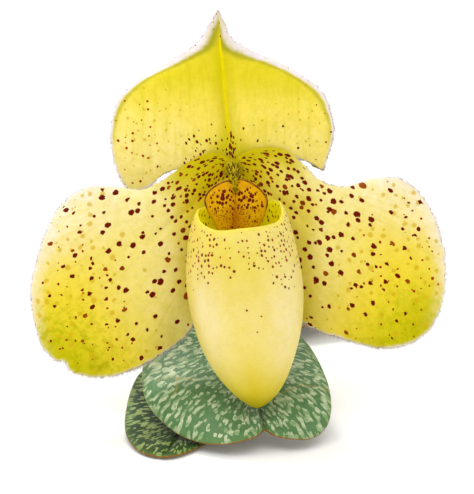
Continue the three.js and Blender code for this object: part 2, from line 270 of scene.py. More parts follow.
# Gives a blade its thickness. Both faces meet at the base and the margins, where the half thickness
# falls as the quarter circle sqrt(1 - (1 - d / r)^2); the last row is the seam between the two halves.
# thinEdge is the share of it left at the margin, reached by a smooth taper over the outer 2.5 mm, and
# lowest the height that no point goes below. A field is a grid or one number.
def bladeShell(blade, grid, points, **fields):
    inset, thinEdge = grid["inset"], blade.get("thinEdge", 1.0)
    normals = gridNormals(points)
    normals[-1] = unit(normals[-2] + normals[-2, ::-1])
    near = np.clip(np.minimum(inset, grid["base"]) / blade["rounding"], 0, 1)
    taper = thinEdge + (1 - thinEdge) * ramp(inset, 0, bladeRules["thinning"])
    half = (blade["thickness"] / 2 * taper * np.sqrt(1 - (1 - near) ** 2))[..., None]
    both = np.stack([points + normals * half, points - normals * half])
    if "lowest" in blade:
        both[..., 2] = np.maximum(both[..., 2], blade["lowest"])
    rows, columns = inset.shape
    middle = columns // 2
    front = np.arange(rows * columns).reshape(rows, columns)
    front[-1, middle + 1 :] = front[-1, :middle][::-1]
    back = front + rows * columns
    back[0] = front[0]
    back[:, 0] = front[:, 0]
    back[:, -1] = front[:, -1]
    sheets = [gridFaces(front), gridFaces(back[:, ::-1])]
    faces = [np.vstack([sheet[kind] for sheet in sheets]) for kind in range(2)]
    fields = {key: value if np.ndim(value) else np.full(inset.shape, value) for key, value in fields.items()}
    fields = {key: np.stack([value, value]) for key, value in fields.items()}
    fields["behind"] = np.stack([np.zeros(inset.shape), np.ones(inset.shape)])
    return {"points": both, "faces": faces, "fields": fields, "middle": points, "normals": normals}


# A closed tube: rings of radius r round a path, with radius 0 at its two ends.
# ring = path + r (cos a * side + sin a * up), where side is level and up is square to it.
def tubeShell(path, radii, rings, sides, capRings, flute=None, capLength=0.6, **fields):
    share = np.linspace(0, 1, rings)
    cap = np.sin(np.linspace(0, np.pi / 2, capRings + 1))[:-1]
    scale = np.concatenate([cap, np.ones(rings), cap[::-1]])
    length = lineLength(path)
    beyond = capLength * np.sqrt(1 - cap**2)
    spot = np.concatenate([-radii[0] * beyond, share * length, length + radii[-1] * beyond[::-1]]) / length
    inside = np.clip(spot, 0, 1)
    tangent = lineDirection(path, inside)
    centre = smoothLine(path, inside) + tangent * ((spot - inside) * length)[:, None]
    side = unit(np.array([1.0, 0, 0]) - tangent * tangent[:, :1])[:, None]
    up = np.cross(tangent, side[:, 0])[:, None]
    turn = np.linspace(0, 2 * np.pi, sides + 1)[None, :]
    radius = (smoothValue(radii, inside) * scale)[:, None]
    radius = radius * (1 + (flute(inside[:, None], turn) if flute else 0 * turn))
    points = centre[:, None] + (radius * np.cos(turn))[..., None] * side
    points = points + (radius * np.sin(turn))[..., None] * up
    return {
        "points": points,
        "normals": unit(np.cos(turn)[..., None] * side + np.sin(turn)[..., None] * up),
        "faces": roundFaces(len(scale), sides + 1),
        "fields": {key: value(inside[:, None], turn) for key, value in fields.items()},
    }


def carriedToFlower(shell):  # a tube that was drawn in the flower's frame
    shell["points"] = inFlower(shell["points"])
    shell["normals"] = inFlower(shell["normals"]) - inFlower(np.zeros(3))
    return shell


# Where a hair has its middle ring, how wide and how bent it is there, and a direction to start from.
hairForm = {"middle": 0.55, "width": 0.7, "bend": 0.3, "across": (0.31, 0.52, 0.79)}


# Fine hairs: three-sided spikes with a closed base, each bending from its root towards a droop.
# ring k of a hair = root + dir * height_k + droop * height_k^2, and its last ring is a single point.
def hairShell(roots, directions, lengths, radius, tones, droop=(0, 0, 0)):
    directions = unit(directions)
    side = unit(np.cross(directions, hairForm["across"]))
    other = np.cross(directions, side)
    turn = np.radians([0, 120, 240])[:, None]
    ring = side[:, None] * np.cos(turn) + other[:, None] * np.sin(turn)
    bend = np.asarray(droop, float) * lengths[:, None]
    middle = roots + directions * (hairForm["middle"] * lengths)[:, None] + bend * hairForm["bend"]
    tip = roots + directions * lengths[:, None] + bend
    foot = roots[:, None] + ring * radius
    waist = middle[:, None] + ring * radius * hairForm["width"]
    start = 7 * np.arange(len(roots))[:, None]
    quads = np.vstack([start + [a, b, b + 3, a + 3] for a, b in ((0, 1), (1, 2), (2, 0))])
    triangles = np.vstack([start + corners for corners in ([3, 4, 6], [4, 5, 6], [5, 3, 6], [2, 1, 0])])
    rank = np.arange(7) + 0 * start
    fields = {"tipward": rank > 5, "tone": tones[:, None] + 0 * rank}
    points = np.concatenate([foot, waist, tip[:, None]], 1)
    return {"points": points, "faces": (quads, triangles), "fields": fields}


fringeRules = {"end": 0.998, "stray": 0.35, "sunk": 0.05}


# A short fringe: hairs along the outermost columns of a blade, leaning out of the margin.
def fringeAlong(blade, hairs, seed, lengths=(0.25, 0.6), skip=0.04, radius=0.022, lean=0.5):
    draw = np.random.default_rng(seed)
    points, normals = blade["middle"], blade["normals"]
    rows, count = len(points), hairs // 2
    shells = []
    for edge, inner in ((0, 5), (-1, -6)):
        place = draw.uniform(skip, fringeRules["end"], count) * (rows - 1)
        row, share = place.astype(int), (place % 1)[:, None]

        def pick(values, column):
            return values[row, column] * (1 - share) + values[np.minimum(row + 1, rows - 1), column] * share

        root = pick(points, edge)
        away = unit(root - pick(points, inner))
        stray = draw.normal(0, fringeRules["stray"], (count, 3))
        normal = pick(normals, edge) * draw.uniform(-lean, lean, (count, 1))
        length = draw.uniform(*lengths, count)
        tones = draw.uniform(0, 1, count)
        root = root - away * fringeRules["sunk"]
        shells.append(hairShell(root, away + stray + normal, length, radius, tones))
    return shells


draw = np.random.default_rng(61)  # the coats of hair below take from it one after another


# A coat of hairs on seeded places of a tube, each read between four points of its grid. They stand
# square to it and stray a little, or radiate from a centre where one is given.
def hairCoat(tube, hairs, rows, stray, lengths, radius, columns=(0, 1), tones=(0, 1), centre=None, droop=0):
    points, normals = tube["points"], tube["normals"]
    row = draw.uniform(*rows, hairs) * (points.shape[0] - 1.001)
    spot = draw.uniform(*columns, hairs) * (points.shape[1] - 1.001)
    a, b = row.astype(int), spot.astype(int)
    s, t = (row % 1)[:, None], (spot % 1)[:, None]

    def pick(values):
        first = values[a, b] * (1 - t) + values[a, b + 1] * t
        second = values[a + 1, b] * (1 - t) + values[a + 1, b + 1] * t
        return first * (1 - s) + second * s

    roots, ways = pick(points), unit(pick(normals))
    if centre:
        ways = unit(roots - inFlower(centre)) + 0.3 * ways
    ways = ways + draw.normal(0, stray, ways.shape)
    length = draw.uniform(*lengths, hairs)
    return hairShell(roots, ways, length, radius, draw.uniform(*tones, hairs), (0, 0, -droop))


def feed(tree, socket, value):
    if isinstance(value, bpy.types.NodeSocket):
        tree.links.new(value, socket)
    else:
        socket.default_value = value


def addNode(tree, kind, sockets, **settings):
    node = tree.nodes.new("ShaderNode" + kind)
    for key, value in settings.items():
        setattr(node, key, value)
    for key, value in sockets.items():
        feed(tree, node.inputs[key], value)
    return node


def maths(tree, operation, a, b=0.5, c=0.5, clamp=False):
    return addNode(tree, "Math", {0: a, 1: b, 2: c}, operation=operation, use_clamp=clamp).outputs[0]


def times(tree, a, b):
    return maths(tree, "MULTIPLY", a, b)


def between(tree, value, low, high, start=0.0, end=1.0):  # a smooth step from low to high
    sockets = {"Value": value, "From Min": low, "From Max": high, "To Min": start, "To Max": end}
    return addNode(tree, "MapRange", sockets, interpolation_type="SMOOTHSTEP").outputs[0]


# Lays colours over one another. A layer is its mask, its colour and how it blends, if not plainly.
def layered(tree, colour, *layers):
    for mask, over, *blend in layers:
        a, b = (part if isinstance(part, bpy.types.NodeSocket) else (*part, 1) for part in (colour, over))
        settings = {"data_type": "RGBA", "blend_type": blend[0] if blend else "MIX"}
        colour = addNode(tree, "Mix", {0: mask, 6: a, 7: b}, **settings).outputs[2]
    return colour


def field(tree, name):
    output = "Vector" if name in ("tint", "flat", "rows", "bars") else "Fac"
    return addNode(tree, "Attribute", {}, attribute_name=name).outputs[output]


def objectPlace(tree):
    return addNode(tree, "TexCoord", {}).outputs["Object"]


def noise(tree, vector, scale, detail=3.0, roughness=0.5, output="Fac"):
    sockets = {"Vector": vector, "Scale": scale, "Detail": detail, "Roughness": roughness}
    return addNode(tree, "TexNoise", sockets).outputs[output]


def scaled(tree, vector, sizes, shift=(0, 0, 0), turn=0.0):
    sockets = {"Vector": vector, "Scale": sizes, "Location": shift, "Rotation": (0, 0, turn)}
    return addNode(tree, "Mapping", sockets).outputs[0]


# The pattern's vector pushed about by noise, so that cells lose their straight sides.
def wobbled(tree, vector, scale, amount):
    push = noise(tree, vector, scale, 2.0, output="Color")
    centred = addNode(tree, "VectorMath", {0: push, 1: (0.5, 0.5, 0.5)}, operation="SUBTRACT").outputs[0]
    pushed = addNode(tree, "VectorMath", {0: centred, "Scale": amount}, operation="SCALE").outputs[0]
    return addNode(tree, "VectorMath", {0: vector, 1: pushed}, operation="ADD").outputs[0]


def cells(tree, vector, randomness, flat=True):
    sockets = {"Vector": vector, "Scale": 1.0, "Randomness": randomness}
    return addNode(tree, "TexVoronoi", sockets, voronoi_dimensions="2D" if flat else "3D").outputs


# Spots, one to a cell: a cell has one where its random red is under the chance, and its size comes
# from its random green. The mask falls from 1 to 0 over the soft share of the spot's radius. The
# random blue is given back too, for a tone of its own.
def spots(tree, vector, chance, size, randomness=0.85, soft=0.25, wobble=0.25, flat=True):
    shape = wobbled(tree, wobbled(tree, vector, 1.6, wobble), 5.0, wobble * 0.7)
    cell = cells(tree, shape, randomness, flat)
    red, green, blue = addNode(tree, "SeparateColor", {"Color": cell["Color"]}).outputs
    radius = times(tree, size, maths(tree, "MULTIPLY_ADD", green, 0.8, 0.55))
    mask = between(tree, cell["Distance"], times(tree, radius, 1 - soft), radius, 1.0, 0.0)
    return times(tree, maths(tree, "LESS_THAN", red, chance), mask), blue


def relief(tree, height, depth, strength=1.0, under=None):  # depth in metres
    sockets = {"Height": height, "Distance": depth, "Strength": strength}
    if under:
        sockets["Normal"] = under
    return addNode(tree, "Bump", sockets).outputs[0]


# What a skin gives its shader: its colour, its relief, and a roughness between two values that
# follows its grain.
def surface(tree, colour, normal, grain, smooth, rough, low=0.3, high=0.7):
    roughness = between(tree, grain, low, high, smooth, rough)
    return {"Base Color": colour, "Roughness": roughness, "Normal": normal}


def skin(name, build, **constants):  # build(tree) returns the sockets of the main shader that vary
    material = bpy.data.materials.new(name)
    material.use_nodes = True
    tree = material.node_tree
    shader = tree.nodes["Principled BSDF"]
    for key, value in constants.items():
        shader.inputs[key.replace("_", " ")].default_value = value
    for key, value in build(tree).items():
        feed(tree, shader.inputs[key], value)
    return material


waxTint = (1.0, 0.86, 0.25, 1.0)  # the flower's gloss is yellowish, because its wax is thin and tinted
spotInk = {
    "maroon": paint(124, 2, 2),
    "core": paint(84, 0, 0),
    "small": paint(178, 26, 6),
    "faded": paint(172, 84, 36),
    "ghost": paint(214, 176, 44),
}


# Petal and sepal skin: zones from the tint field, a fine mottle, veins, ghost spots, maroon spots.
def petalSkinNodes(tree):
    flat, rows = field(tree, "flat"), field(tree, "rows")
    clouds = between(tree, noise(tree, flat, 0.45, 5.0, 0.62), 0.4, 0.7)
    mottle = between(tree, noise(tree, flat, 0.7, 6.0, 0.68), 0.42, 0.64)
    streaks = between(tree, noise(tree, scaled(tree, flat, (0.9, 0.1, 1)), 1.0, 3.0, 0.55), 0.45, 0.72)
    veins = noise(tree, scaled(tree, rows, (0.16, 2.6, 1)), 1.3, 2.0)
    grain = noise(tree, flat, 3.2, 3.0, 0.6)

    def fieldSpots(kind, place, *shape, **edge):  # their chance and size are fields of the blade
        chance, size = field(tree, kind + "Chance"), field(tree, kind + "Size")
        return spots(tree, place, chance, size, *shape, **edge)

    ghost, _ = fieldSpots("ghost", scaled(tree, flat, (0.52, 0.52, 1), (7.3, 2.1, 0)), soft=0.5)
    dots, dotTone = fieldSpots("dot", scaled(tree, flat, (0.7, 0.7, 1), (1.7, 5.2, 0)), soft=0.3)
    blotches, tone = fieldSpots("spot", scaled(tree, rows, (0.88, 1.12, 1)), 0.95, 0.2, 0.28)
    fading = times(tree, between(tree, tone, 0.75, 0.95), 0.7)
    redder = noise(tree, flat, 3.0)
    ink = layered(tree, spotInk["core"], (redder, spotInk["maroon"]), (fading, spotInk["faded"]))
    colour = layered(
        tree, field(tree, "tint"),
        (clouds, (1.03, 1.04, 1.35), "MULTIPLY"),
        (times(tree, mottle, field(tree, "mottle")), paint(188, 180, 4)),
        (times(tree, streaks, field(tree, "streaks")), paint(214, 202, 20)),
        (between(tree, veins, 0.5, 0.75), (0.96, 0.94, 0.8), "MULTIPLY"),
        (between(tree, grain, 0.35, 0.75), (1.03, 1.04, 1.25), "MULTIPLY"),
        (times(tree, ghost, 0.75), spotInk["ghost"]),
        (blotches, ink),
        (dots, layered(tree, spotInk["maroon"], (dotTone, spotInk["small"]))),
        (times(tree, field(tree, "behind"), 0.35), paint(214, 204, 120)),
    )
    normal = relief(tree, noise(tree, flat, 9.0, 2.0), 0.00003, 0.5, relief(tree, veins, 0.00012, 0.35))
    return surface(tree, colour, normal, grain, 0.5, 0.65, 0.2, 0.8)


petalSkin = skin(
    "spotted petal skin", petalSkinNodes, Subsurface_Weight=0.1, Subsurface_Scale=0.0003,
    Subsurface_Radius=(1.0, 0.8, 0.15), Specular_IOR_Level=0.1, Specular_Tint=waxTint,
)


# Hair: each one pale or dark by its own tone, and darker at its tip.
def fuzz(name, light, dark, darkShare, roughness, gloss):
    def build(tree):
        own = between(tree, field(tree, "tone"), 0.95 - darkShare, 1.05 - darkShare, 0.0, 0.8)
        tips = times(tree, field(tree, "tipward"), 0.5)
        return {"Base Color": layered(tree, light, (maths(tree, "ADD", own, tips, clamp=True), dark))}

    return skin(name, build, Roughness=roughness, Specular_IOR_Level=gloss)


paleFuzz = fuzz("pale petal fuzz", paint(252, 242, 220), paint(186, 142, 150), 0.3, 0.8, 0.1)
darkFuzz = fuzz("purple stem hair", paint(150, 122, 112), paint(92, 52, 60), 0.5, 0.7, 0.3)
bossFuzz = fuzz("short boss hair", paint(168, 142, 4), paint(60, 36, 0), 0.75, 0.7, 0.1)

# Spots run in rows that fan from the petal's root. The row map's first number is the distance r from
# the root in cells, ln((r + c) / c) / s, and its second the arc in cells, because a cell is s (r + c).
rowMap = {"core": 8.0, "cell": 0.06}


def rowCoordinates(x, y, rootX, rootY, axis):
    r = np.hypot(x - rootX, y - rootY)
    angle = np.arctan2(x * axis[1] - y * axis[0], x * axis[0] + y * axis[1])
    cell = rowMap["cell"] * (r + rowMap["core"])
    outward = np.log(1 + r / rowMap["core"]) / rowMap["cell"]
    return joined(outward, angle * r / cell, 0), r, cell


petals = {
    "thickness": 0.9,
    "rounding": 0.5,
    "rise": [-1.3, -0.2, 1.6, 3.4, 4.5, 4.2, 2.6],
    "reach": 48.0,
    "cup": 0.012,
    "ruffle": 0.45,
    "rows": 190,
    "columns": 151,
    "fringe": {"hairs": 4000, "lengths": (0.4, 0.95), "skip": 0.2, "radius": 0.018},
    "spotChance": [0.7, 0.84, 0.76, 0.5, 0.42, 0.7, 0.68, 0.52, 0.06],  # from the root to the reach
    "spotRadius": [0.27, 0.31, 0.39, 0.47, 0.5, 0.42, 0.35, 0.29, 0.25],
    "left_petal": {
        "node": "petal_left",
        "axis": (-0.76, -0.65),
        "wave": 0.0,
        "golden": 0.0,
        "crowded": 0.05,
        "seed": 5,
        "left": [
            [-0.3, -2.6], [-2.2, -9], [-4, -18], [-6.8, -27.4], [-11, -32], [-18, -36], [-24.4, -37.4],
            [-28.6, -36.4], [-31.4, -34.6], [-34, -31.8], [-35.4, -27.4],
        ],
        "right": [
            [-0.3, 1.6], [-3.6, 2.8], [-7.6, 1.3], [-12.8, -2.4], [-17, -4], [-22, -3.5], [-27.2, -4],
            [-31.6, -8], [-34.6, -15.4], [-35.9, -22], [-35.4, -27.4],
        ],
        "midrib": [[-0.3, -0.5], [-9, -8.2], [-17, -15.2], [-25.4, -21.4]],
        "crimp": 0.16,
        "notches": [(-30.4, -35.4, 0.9, 1.0)],
    },
    "right_petal": {
        "node": "petal_right",
        "axis": (0.79, -0.61),
        "wave": 2.0,
        "golden": 2.5,
        "crowded": 0.35,
        "seed": 8,
        "left": [
            [0.3, 1.6], [3.4, 3.4], [8.6, 3.6], [12.2, 1], [15.8, -2.4], [20.4, -3.4], [26, -1.9],
            [30.6, -2.4], [34.8, -6.6], [37.4, -14], [37.8, -20.4], [37, -25],
        ],
        "right": [
            [0.3, -2.6], [2.6, -9], [5, -17], [9, -25], [13, -28], [19.4, -30.4], [26, -32],
            [31.2, -31.4], [34.8, -29], [37, -25],
        ],
        "midrib": [[0.3, -0.5], [10, -7.4], [19, -14], [27, -18]],
        "crimp": 0.16,
    },
}


# A petal's height over its flat outline: a rise along its axis, a fall with the square of the
# distance from it, and a margin that rolls back and waves.
def petalHeight(grid, petal):
    ax, ay = petal["axis"]
    x, y, across, along = (grid[key] for key in ("x", "y", "across", "along"))
    outward = x * ax + y * ay
    sideways = x * ay - y * ax
    margin = abs(across) ** 4 * ramp(along, 0.02, 0.2)
    wave = np.sin(9 * np.pi * np.sign(across) * (1 - along) + petal["wave"])
    wrinkle = 0.12 * unevenness(x, y, 9, petal["seed"]) * ramp(outward, 6, 20)
    crimp = 0.10 * unevenness(x, y, 3.2, petal["seed"] + 1) * ramp(abs(across), 0.8, 1)
    groove = 0.25 * bump(grid["spread"], 0, 0.9) * fall(outward, 10, 30)
    rise = smoothValue(petals["rise"], outward / petals["reach"])
    roll = margin * (petals["ruffle"] * wave - 0.7)
    return rise - petals["cup"] * sideways**2 + roll + wrinkle + crimp - groove, outward, sideways


def petalTint(x, y, r, edge, outward, below):
    free = ramp(r, 14, 26)
    # painted light: a pale cream lift on the petal next to the pouch, painted over the shade the pouch casts
    # there
    paintedLightBesidePouch = ramp(below, -7, 4) * ramp(r, 7, 12) * fall(outward, 22, 38)
    # painted shade: a golden strip along the pouch's edge, where the petal lies in the pouch's shade and
    # takes golden light bounced from it
    pouchSide = ramp(x, -2, 6)  # the golden strip is wider and longer on the right
    paintedPouchShade = fall(abs(x - 1.5), 9.5 + 1.5 * pouchSide, 14 + 1.5 * pouchSide) * ramp(-y, 2, 7)
    paintedPouchShade = paintedPouchShade * fall(-y, 20 + 4 * pouchSide, 30 + 4 * pouchSide)
    # painted shade: golden olive at the left petal's root on the pouch side
    paintedLeftRootShade = fall(r, 6.5, 13) * ramp(below, -7, -2) * fall(x, -1, 3)
    # painted shade: olive on the upper margin near the root, where it rolls back in the sepal's shade
    paintedUpperRootShade = fall(edge, 1.5, 4) * fall(r, 9, 15) * ramp(-below, -1, 3)
    flanks = 0.5 + 0.5 * abs(ramp(below, -8, 8) * 2 - 1)
    return layTint(
        (238, 216, 98),
        (0.9 * ramp(-below, 0, 12) * ramp(outward, 5, 20), (250, 234, 164)),
        (0.8 * bump(r, 16, 8) * flanks, (250, 234, 146)),
        (0.85 * ramp(outward, 22, 38) * ramp(below, -16, -2), (240, 214, 60)),
        (0.7 * ramp(outward, 34, 44) * ramp(below, -4, 6), (222, 206, 34)),
        (0.85 * ramp(outward, 37, 46) * ramp(below, -7, 4), (196, 186, 6)),
        (0.6 * paintedLightBesidePouch, (254, 236, 136)),
        (0.7 * paintedPouchShade, (222, 196, 20)),
        (0.5 * fall(r, 6, 14), (238, 212, 50)),
        (0.85 * paintedLeftRootShade, (212, 186, 4)),
        (0.97 * fall(r, 3.5, 9), (208, 184, 0)),
        (0.9 * paintedUpperRootShade, (204, 186, 0)),
        (0.6 * fall(edge, 0.3, 3.0) * free * ramp(-below, -6, 8), (250, 236, 184)),
        (0.65 * fall(edge, 0.1, 0.7) * free, (246, 236, 200)),
    )


for name in ("left_petal", "right_petal"):
    petal = {**petals, **petals[name]}
    grid = bladeGrid(petal)
    x, y, edge = grid["x"], grid["y"], grid["edge"]
    z, outward, sideways = petalHeight(grid, petal)
    below = sideways if petal["axis"][0] > 0 else -sideways
    rows, r, cell = rowCoordinates(x, y, 0, -1, petal["axis"])
    reach = r / petals["reach"]
    clear = ramp(edge, 0.3, 1.2)
    margin = fall(edge, 0.1, 0.6)
    shell = bladeShell(
        petal, grid, inFlower(joined(x, y, z)),
        tint=petalTint(x, y, r, edge, outward + petal["golden"], below + petal["golden"]),
        flat=joined(x, y, 0),
        rows=rows,
        mottle=0.16 + 0.84 * ramp(below, -7, 3) * ramp(outward, 31, 43),
        spotChance=(smoothValue(petals["spotChance"], reach) + petal["crowded"] * bump(r, 19, 7)) * clear,
        spotSize=smoothValue(petals["spotRadius"], reach) / cell,
        dotChance=0.24 * ramp(r, 22, 36) * clear + 0.5 * margin * ramp(r, 20, 30),
        dotSize=0.14 - 0.05 * margin,
        ghostChance=0.6 * ramp(r, 18, 30) * (1 - 0.6 * ramp(below, 0, 10)) * clear,
        ghostSize=0.25,
    )
    makePiece(name, [shell], [petalSkin], petal["node"])
    fringe = fringeAlong(shell, seed=petal["seed"], **petals["fringe"])
    makePiece(name + "_fringe", fringe, [paleFuzz])

upperSepal = {
    "thickness": 0.9,
    "rounding": 0.5,
    "rows": 190,
    "columns": 151,
    "fringe": {"hairs": 4600, "seed": 31, "lengths": (0.4, 1.05), "skip": 0.15, "radius": 0.018, "lean": 1.2},
    "curlDepth": 2.6,
    "curl": [0, 0, 0, 0.1, 0.7, 1, 0.4, 0],
    "keel": 0.7,
    "back": -3.2,
    "slope": 0.12,
    "cup": 0.0062,
    "feet": [0, 0.4, 0.58, 0.67, 0.74, 1],
    "left": [
        [-2.2, 0.4], [-7, 0.2], [-12.2, -0.8], [-15.6, -3.5], [-18.6, -4], [-20.8, -0.6], [-22, 5.5],
        [-21.2, 11], [-18.4, 15], [-12.2, 18.8], [-6.6, 22.2], [-4.2, 25.6], [-2.7, 28.2],
    ],
    "right": [
        [2.2, 0.4], [7, 1.6], [12.4, 1.6], [14.8, 0.5], [16.1, -0.2], [16.8, 1.5], [18, 5.5],
        [17.8, 9], [15.9, 13.8], [10.8, 17.6], [3.8, 20.8], [0, 23], [-1.4, 25.6], [-2.7, 28.2],
    ],
    "midrib": [[0, 0.4], [-0.6, 9], [-1.7, 18], [-2.4, 25.6]],
    "crimp": 0.12,
    "rolled": [0.3, 0.4, 0.7, 0.9, 1.3, 1.9, 2.6, 2.6, 2.0, 1.4],  # tint width of the rolled margin, going up
    "length": 27,
}
grid = bladeGrid(upperSepal)
x, y, across, along, inset, edge = (grid[key] for key in ("x", "y", "across", "along", "inset", "edge"))
# height = a slope up the sepal, a fall with x squared, a keel on its midline, and curled margins
curl = upperSepal["curlDepth"] * smoothValue(upperSepal["curl"], along)
curl = curl * np.maximum(0, 2 * abs(across) - 1) ** 1.5
midline = x + 0.09 * y
keel = upperSepal["keel"] * np.exp(-(midline**2) / 3) * ramp(y, 1, 6) * fall(y, 16, 25)
ribs = 0.03 * np.cos(2 * np.pi * midline / 1.5) * ramp(abs(midline), 1.5, 3) * ramp(inset, 2, 5)
wrinkle = 0.14 * unevenness(x, y, 8, 21) * ramp(y, 3, 10)
cup = upperSepal["cup"] * x**2 * ramp(abs(x), 0, 8)
z = upperSepal["back"] + upperSepal["slope"] * y - cup - keel - curl + ribs + wrinkle
fold = smoothValue(upperSepal["rolled"], y / upperSepal["length"])
rolled = ramp(fold, 0.1, 1.0)
rows, r, cell = rowCoordinates(x, y, 0, -1.5, (0, 1))
low = fall(y, 4, 10)
margin = fall(edge, 0.1, 0.9)
outer = ramp(abs(x), 11, 15) * fall(y, 8, 15) * ramp(edge, 0.5, 1.2)
chain = 0.8 * bump(midline, 0, 0.9) * fall(y, 7, 8.5)
shell = bladeShell(
    upperSepal, grid, inFlower(joined(x, y, z)),
    tint=layTint(
        (251, 228, 98),
        (0.8 * ramp(y, 9, 17), (229, 210, 34)),
        (0.8 * ramp(-x, 2, 12) * fall(y, 3, 13), (252, 232, 134)),
        (0.7 * ramp(x, 2, 10) * fall(y, 3, 12), (250, 229, 124)),
        (0.85 * bump(midline, -0.4, 1.6 + 1.4 * fall(y, 2, 9)) * ramp(y, 1, 4), (212, 197, 4)),
        (0.9 * bump(midline, -0.25, 0.34) * ramp(y, 3, 9), (248, 224, 16)),
        (0.8 * fall(np.hypot(x, y), 2.5, 7), (210, 194, 0)),
        # painted shade: olive bands along the crease where the margin rolls back, darker up near the apex
        (0.7 * bump(edge, 0.85 * fold, 0.2 + 0.3 * fold) * rolled, (184, 176, 60)),
        (0.6 * bump(edge, 0.7 * fold, 0.2 + 0.2 * fold) * ramp(y, 16, 22), (150, 146, 30)),
        (0.95 * fall(edge, 0.2 * fold, 0.75 * fold) * rolled, (246, 236, 212)),
        (0.6 * fall(edge, 0.1, 0.7) * ramp(np.hypot(x, y), 10, 16), (246, 234, 198)),
        (0.5 * ramp(y, 23, 28), (196, 178, 92)),
    ),
    flat=joined(x, y, 0),
    rows=rows,
    mottle=0.16,
    streaks=0.36 * ramp(edge, 2, 5),
    spotChance=0.7 * low * bump(x, -5, 3) + 0.25 * low * bump(x, 6, 3) + chain,
    spotSize=(0.23 + 0.26 * chain) / cell,
    dotChance=0.5 * outer + 0.8 * margin * ramp(r, 12, 18) + 0.8 * ramp(y, 21, 25),
    dotSize=0.16 - 0.08 * np.maximum(margin, ramp(y, 19, 23)),
    ghostChance=0.8 * ramp(abs(x), 4, 11) * fall(y, 10, 17) * ramp(edge, 0.8, 2),
    ghostSize=0.13,
)
makePiece("upper_sepal", [shell], [petalSkin], "dorsal_sepal")
makePiece("upper_sepal_fringe", fringeAlong(shell, **upperSepal["fringe"]), [paleFuzz])

lowerSepal = {
    "thickness": 0.9,
    "rounding": 0.5,
    "rows": 90,
    "columns": 81,
    "fringe": {"hairs": 900, "seed": 43, "lean": 0.9},
    "back": -2.5,
    "step": 3.4,
    "hollow": 0.035,
    "left": [[2.2, -0.5], [6, -3], [8.8, -8], [9.6, -14], [8, -20], [4.6, -24.6], [0.6, -26.6]],
    "right": [[-2.2, -0.5], [-6, -3], [-8.8, -8], [-9.4, -14], [-7.4, -20], [-3.6, -24.6], [0.6, -26.6]],
    "midrib": [[0, -0.5], [0.4, -21]],
}
grid = bladeGrid(lowerSepal)
x, y, inset = grid["x"], grid["y"], grid["inset"]
# height = a step back down the sepal, and a hollow that deepens with x squared
hollow = lowerSepal["hollow"] * x**2 * ramp(-y, 3, 12)
z = lowerSepal["back"] - lowerSepal["step"] * ramp(-y, 0, 14) + hollow + 0.1 * unevenness(x, y, 7, 41)
rows, r, _ = rowCoordinates(x, y, 0, -1, (0, -1))
shell = bladeShell(
    lowerSepal, grid, inFlower(joined(x, y, z)),
    tint=layTint(
        (240, 226, 128),
        (0.6 * bump(x, 0, 1.5), (206, 196, 60)),
        (0.7 * fall(inset, 0.2, 1.5), (250, 242, 206)),
    ),
    flat=joined(x, y, 0),
    rows=rows,
    mottle=0.15,
    streaks=0.3,
    spotChance=0.5 * fall(r, 8, 20),
    spotSize=0.16,
    dotChance=0.25 * ramp(inset, 1, 2),
    dotSize=0.15,
    ghostChance=0.3 * ramp(inset, 1, 2),
    ghostSize=0.2,
)
makePiece("lower_sepal", [shell], [petalSkin], "synsepal")
makePiece("lower_sepal_fringe", fringeAlong(shell, **lowerSepal["fringe"]), [paleFuzz])
print("petals and sepals done")

pouch = {
    "tip": -41.9,
    "belly": -20.5,
    "top": -2.9,
    "halfWidth": 9.8,
    "halfDepth": 8.5,
    "narrowing": (3.4, 2.9),  # of the half width and half depth towards the top
    "tipPower": 0.66,
    "rimDrawn": 0.04,
    "fluteDepth": 0.018,
    "thickness": 0.9,
    "rimThinner": 0.6,
    "centreX": [4.2, 3.1, 2.5, 1.9, 1.4, 1.2],
    "centreZ": [13, 12.8, 12.4, 11.6, 10.9, 9.6, 8.3],
    "rim": [-2.9, -6.2, -7.2, -7.9, -10, -11.4, -11.1, -10.6, -9.5, -6.8, -6, -6, -2.9],
    "sides": 180,
    "rings": 120,
    "lipRings": 6,
}
turn = np.linspace(0, 1, pouch["sides"] + 1)[None, :]
angle = 2 * np.pi * (turn - 0.5)
v = np.linspace(0, 1, pouch["rings"])[:, None]
rim = smoothValue(pouch["rim"], turn)
# An ellipse at every height y = tip + (rim - tip)(1 - cos(v 90)), narrowed towards the tip by
# (1 - below^2)^tipPower, towards the top by a power of the height, and drawn in a little at the rim.
y = pouch["tip"] + (rim - pouch["tip"]) * (1 - np.cos(v * np.pi / 2))
height = (y - pouch["tip"]) / (pouch["top"] - pouch["tip"])
below = np.maximum(0, (pouch["belly"] - y) / (pouch["belly"] - pouch["tip"]))
above = np.maximum(0, (y - pouch["belly"]) / (pouch["top"] - pouch["belly"]))
roundness = (1 - below**2) ** pouch["tipPower"] * (1 - pouch["rimDrawn"] * np.exp((y - rim) / 1.2))
fluting = np.cos(9 * angle + 0.6 * np.sin(2 * angle))
flutes = 1 + pouch["fluteDepth"] * fluting * bump(v, 0.3, 0.16) * ramp(v, 0.02, 0.15)
halfWidth = (pouch["halfWidth"] - pouch["narrowing"][0] * above**1.6) * roundness * flutes
halfDepth = (pouch["halfDepth"] - pouch["narrowing"][1] * above**1.4) * roundness * flutes
x = smoothValue(pouch["centreX"], height) + halfWidth * np.sin(angle)
z = smoothValue(pouch["centreZ"], height) + halfDepth * np.cos(angle)
wall = inFlower(joined(x, y, z))
normals = gridNormals(wall)
normals[:, 0] = normals[:, -1] = unit(normals[:, 0] + normals[:, -1])
normals[0] = unit(normals[1, :-1].mean(0))
if np.dot(normals[pouch["rings"] // 2, pouch["sides"] // 2], [0, -1, 0]) < 0:
    normals = -normals
half = (pouch["thickness"] / 2 * (1 - pouch["rimThinner"] * np.exp((y - rim) / 1.5)))[..., None]
upward = unit(wall[-1] - wall[-2])
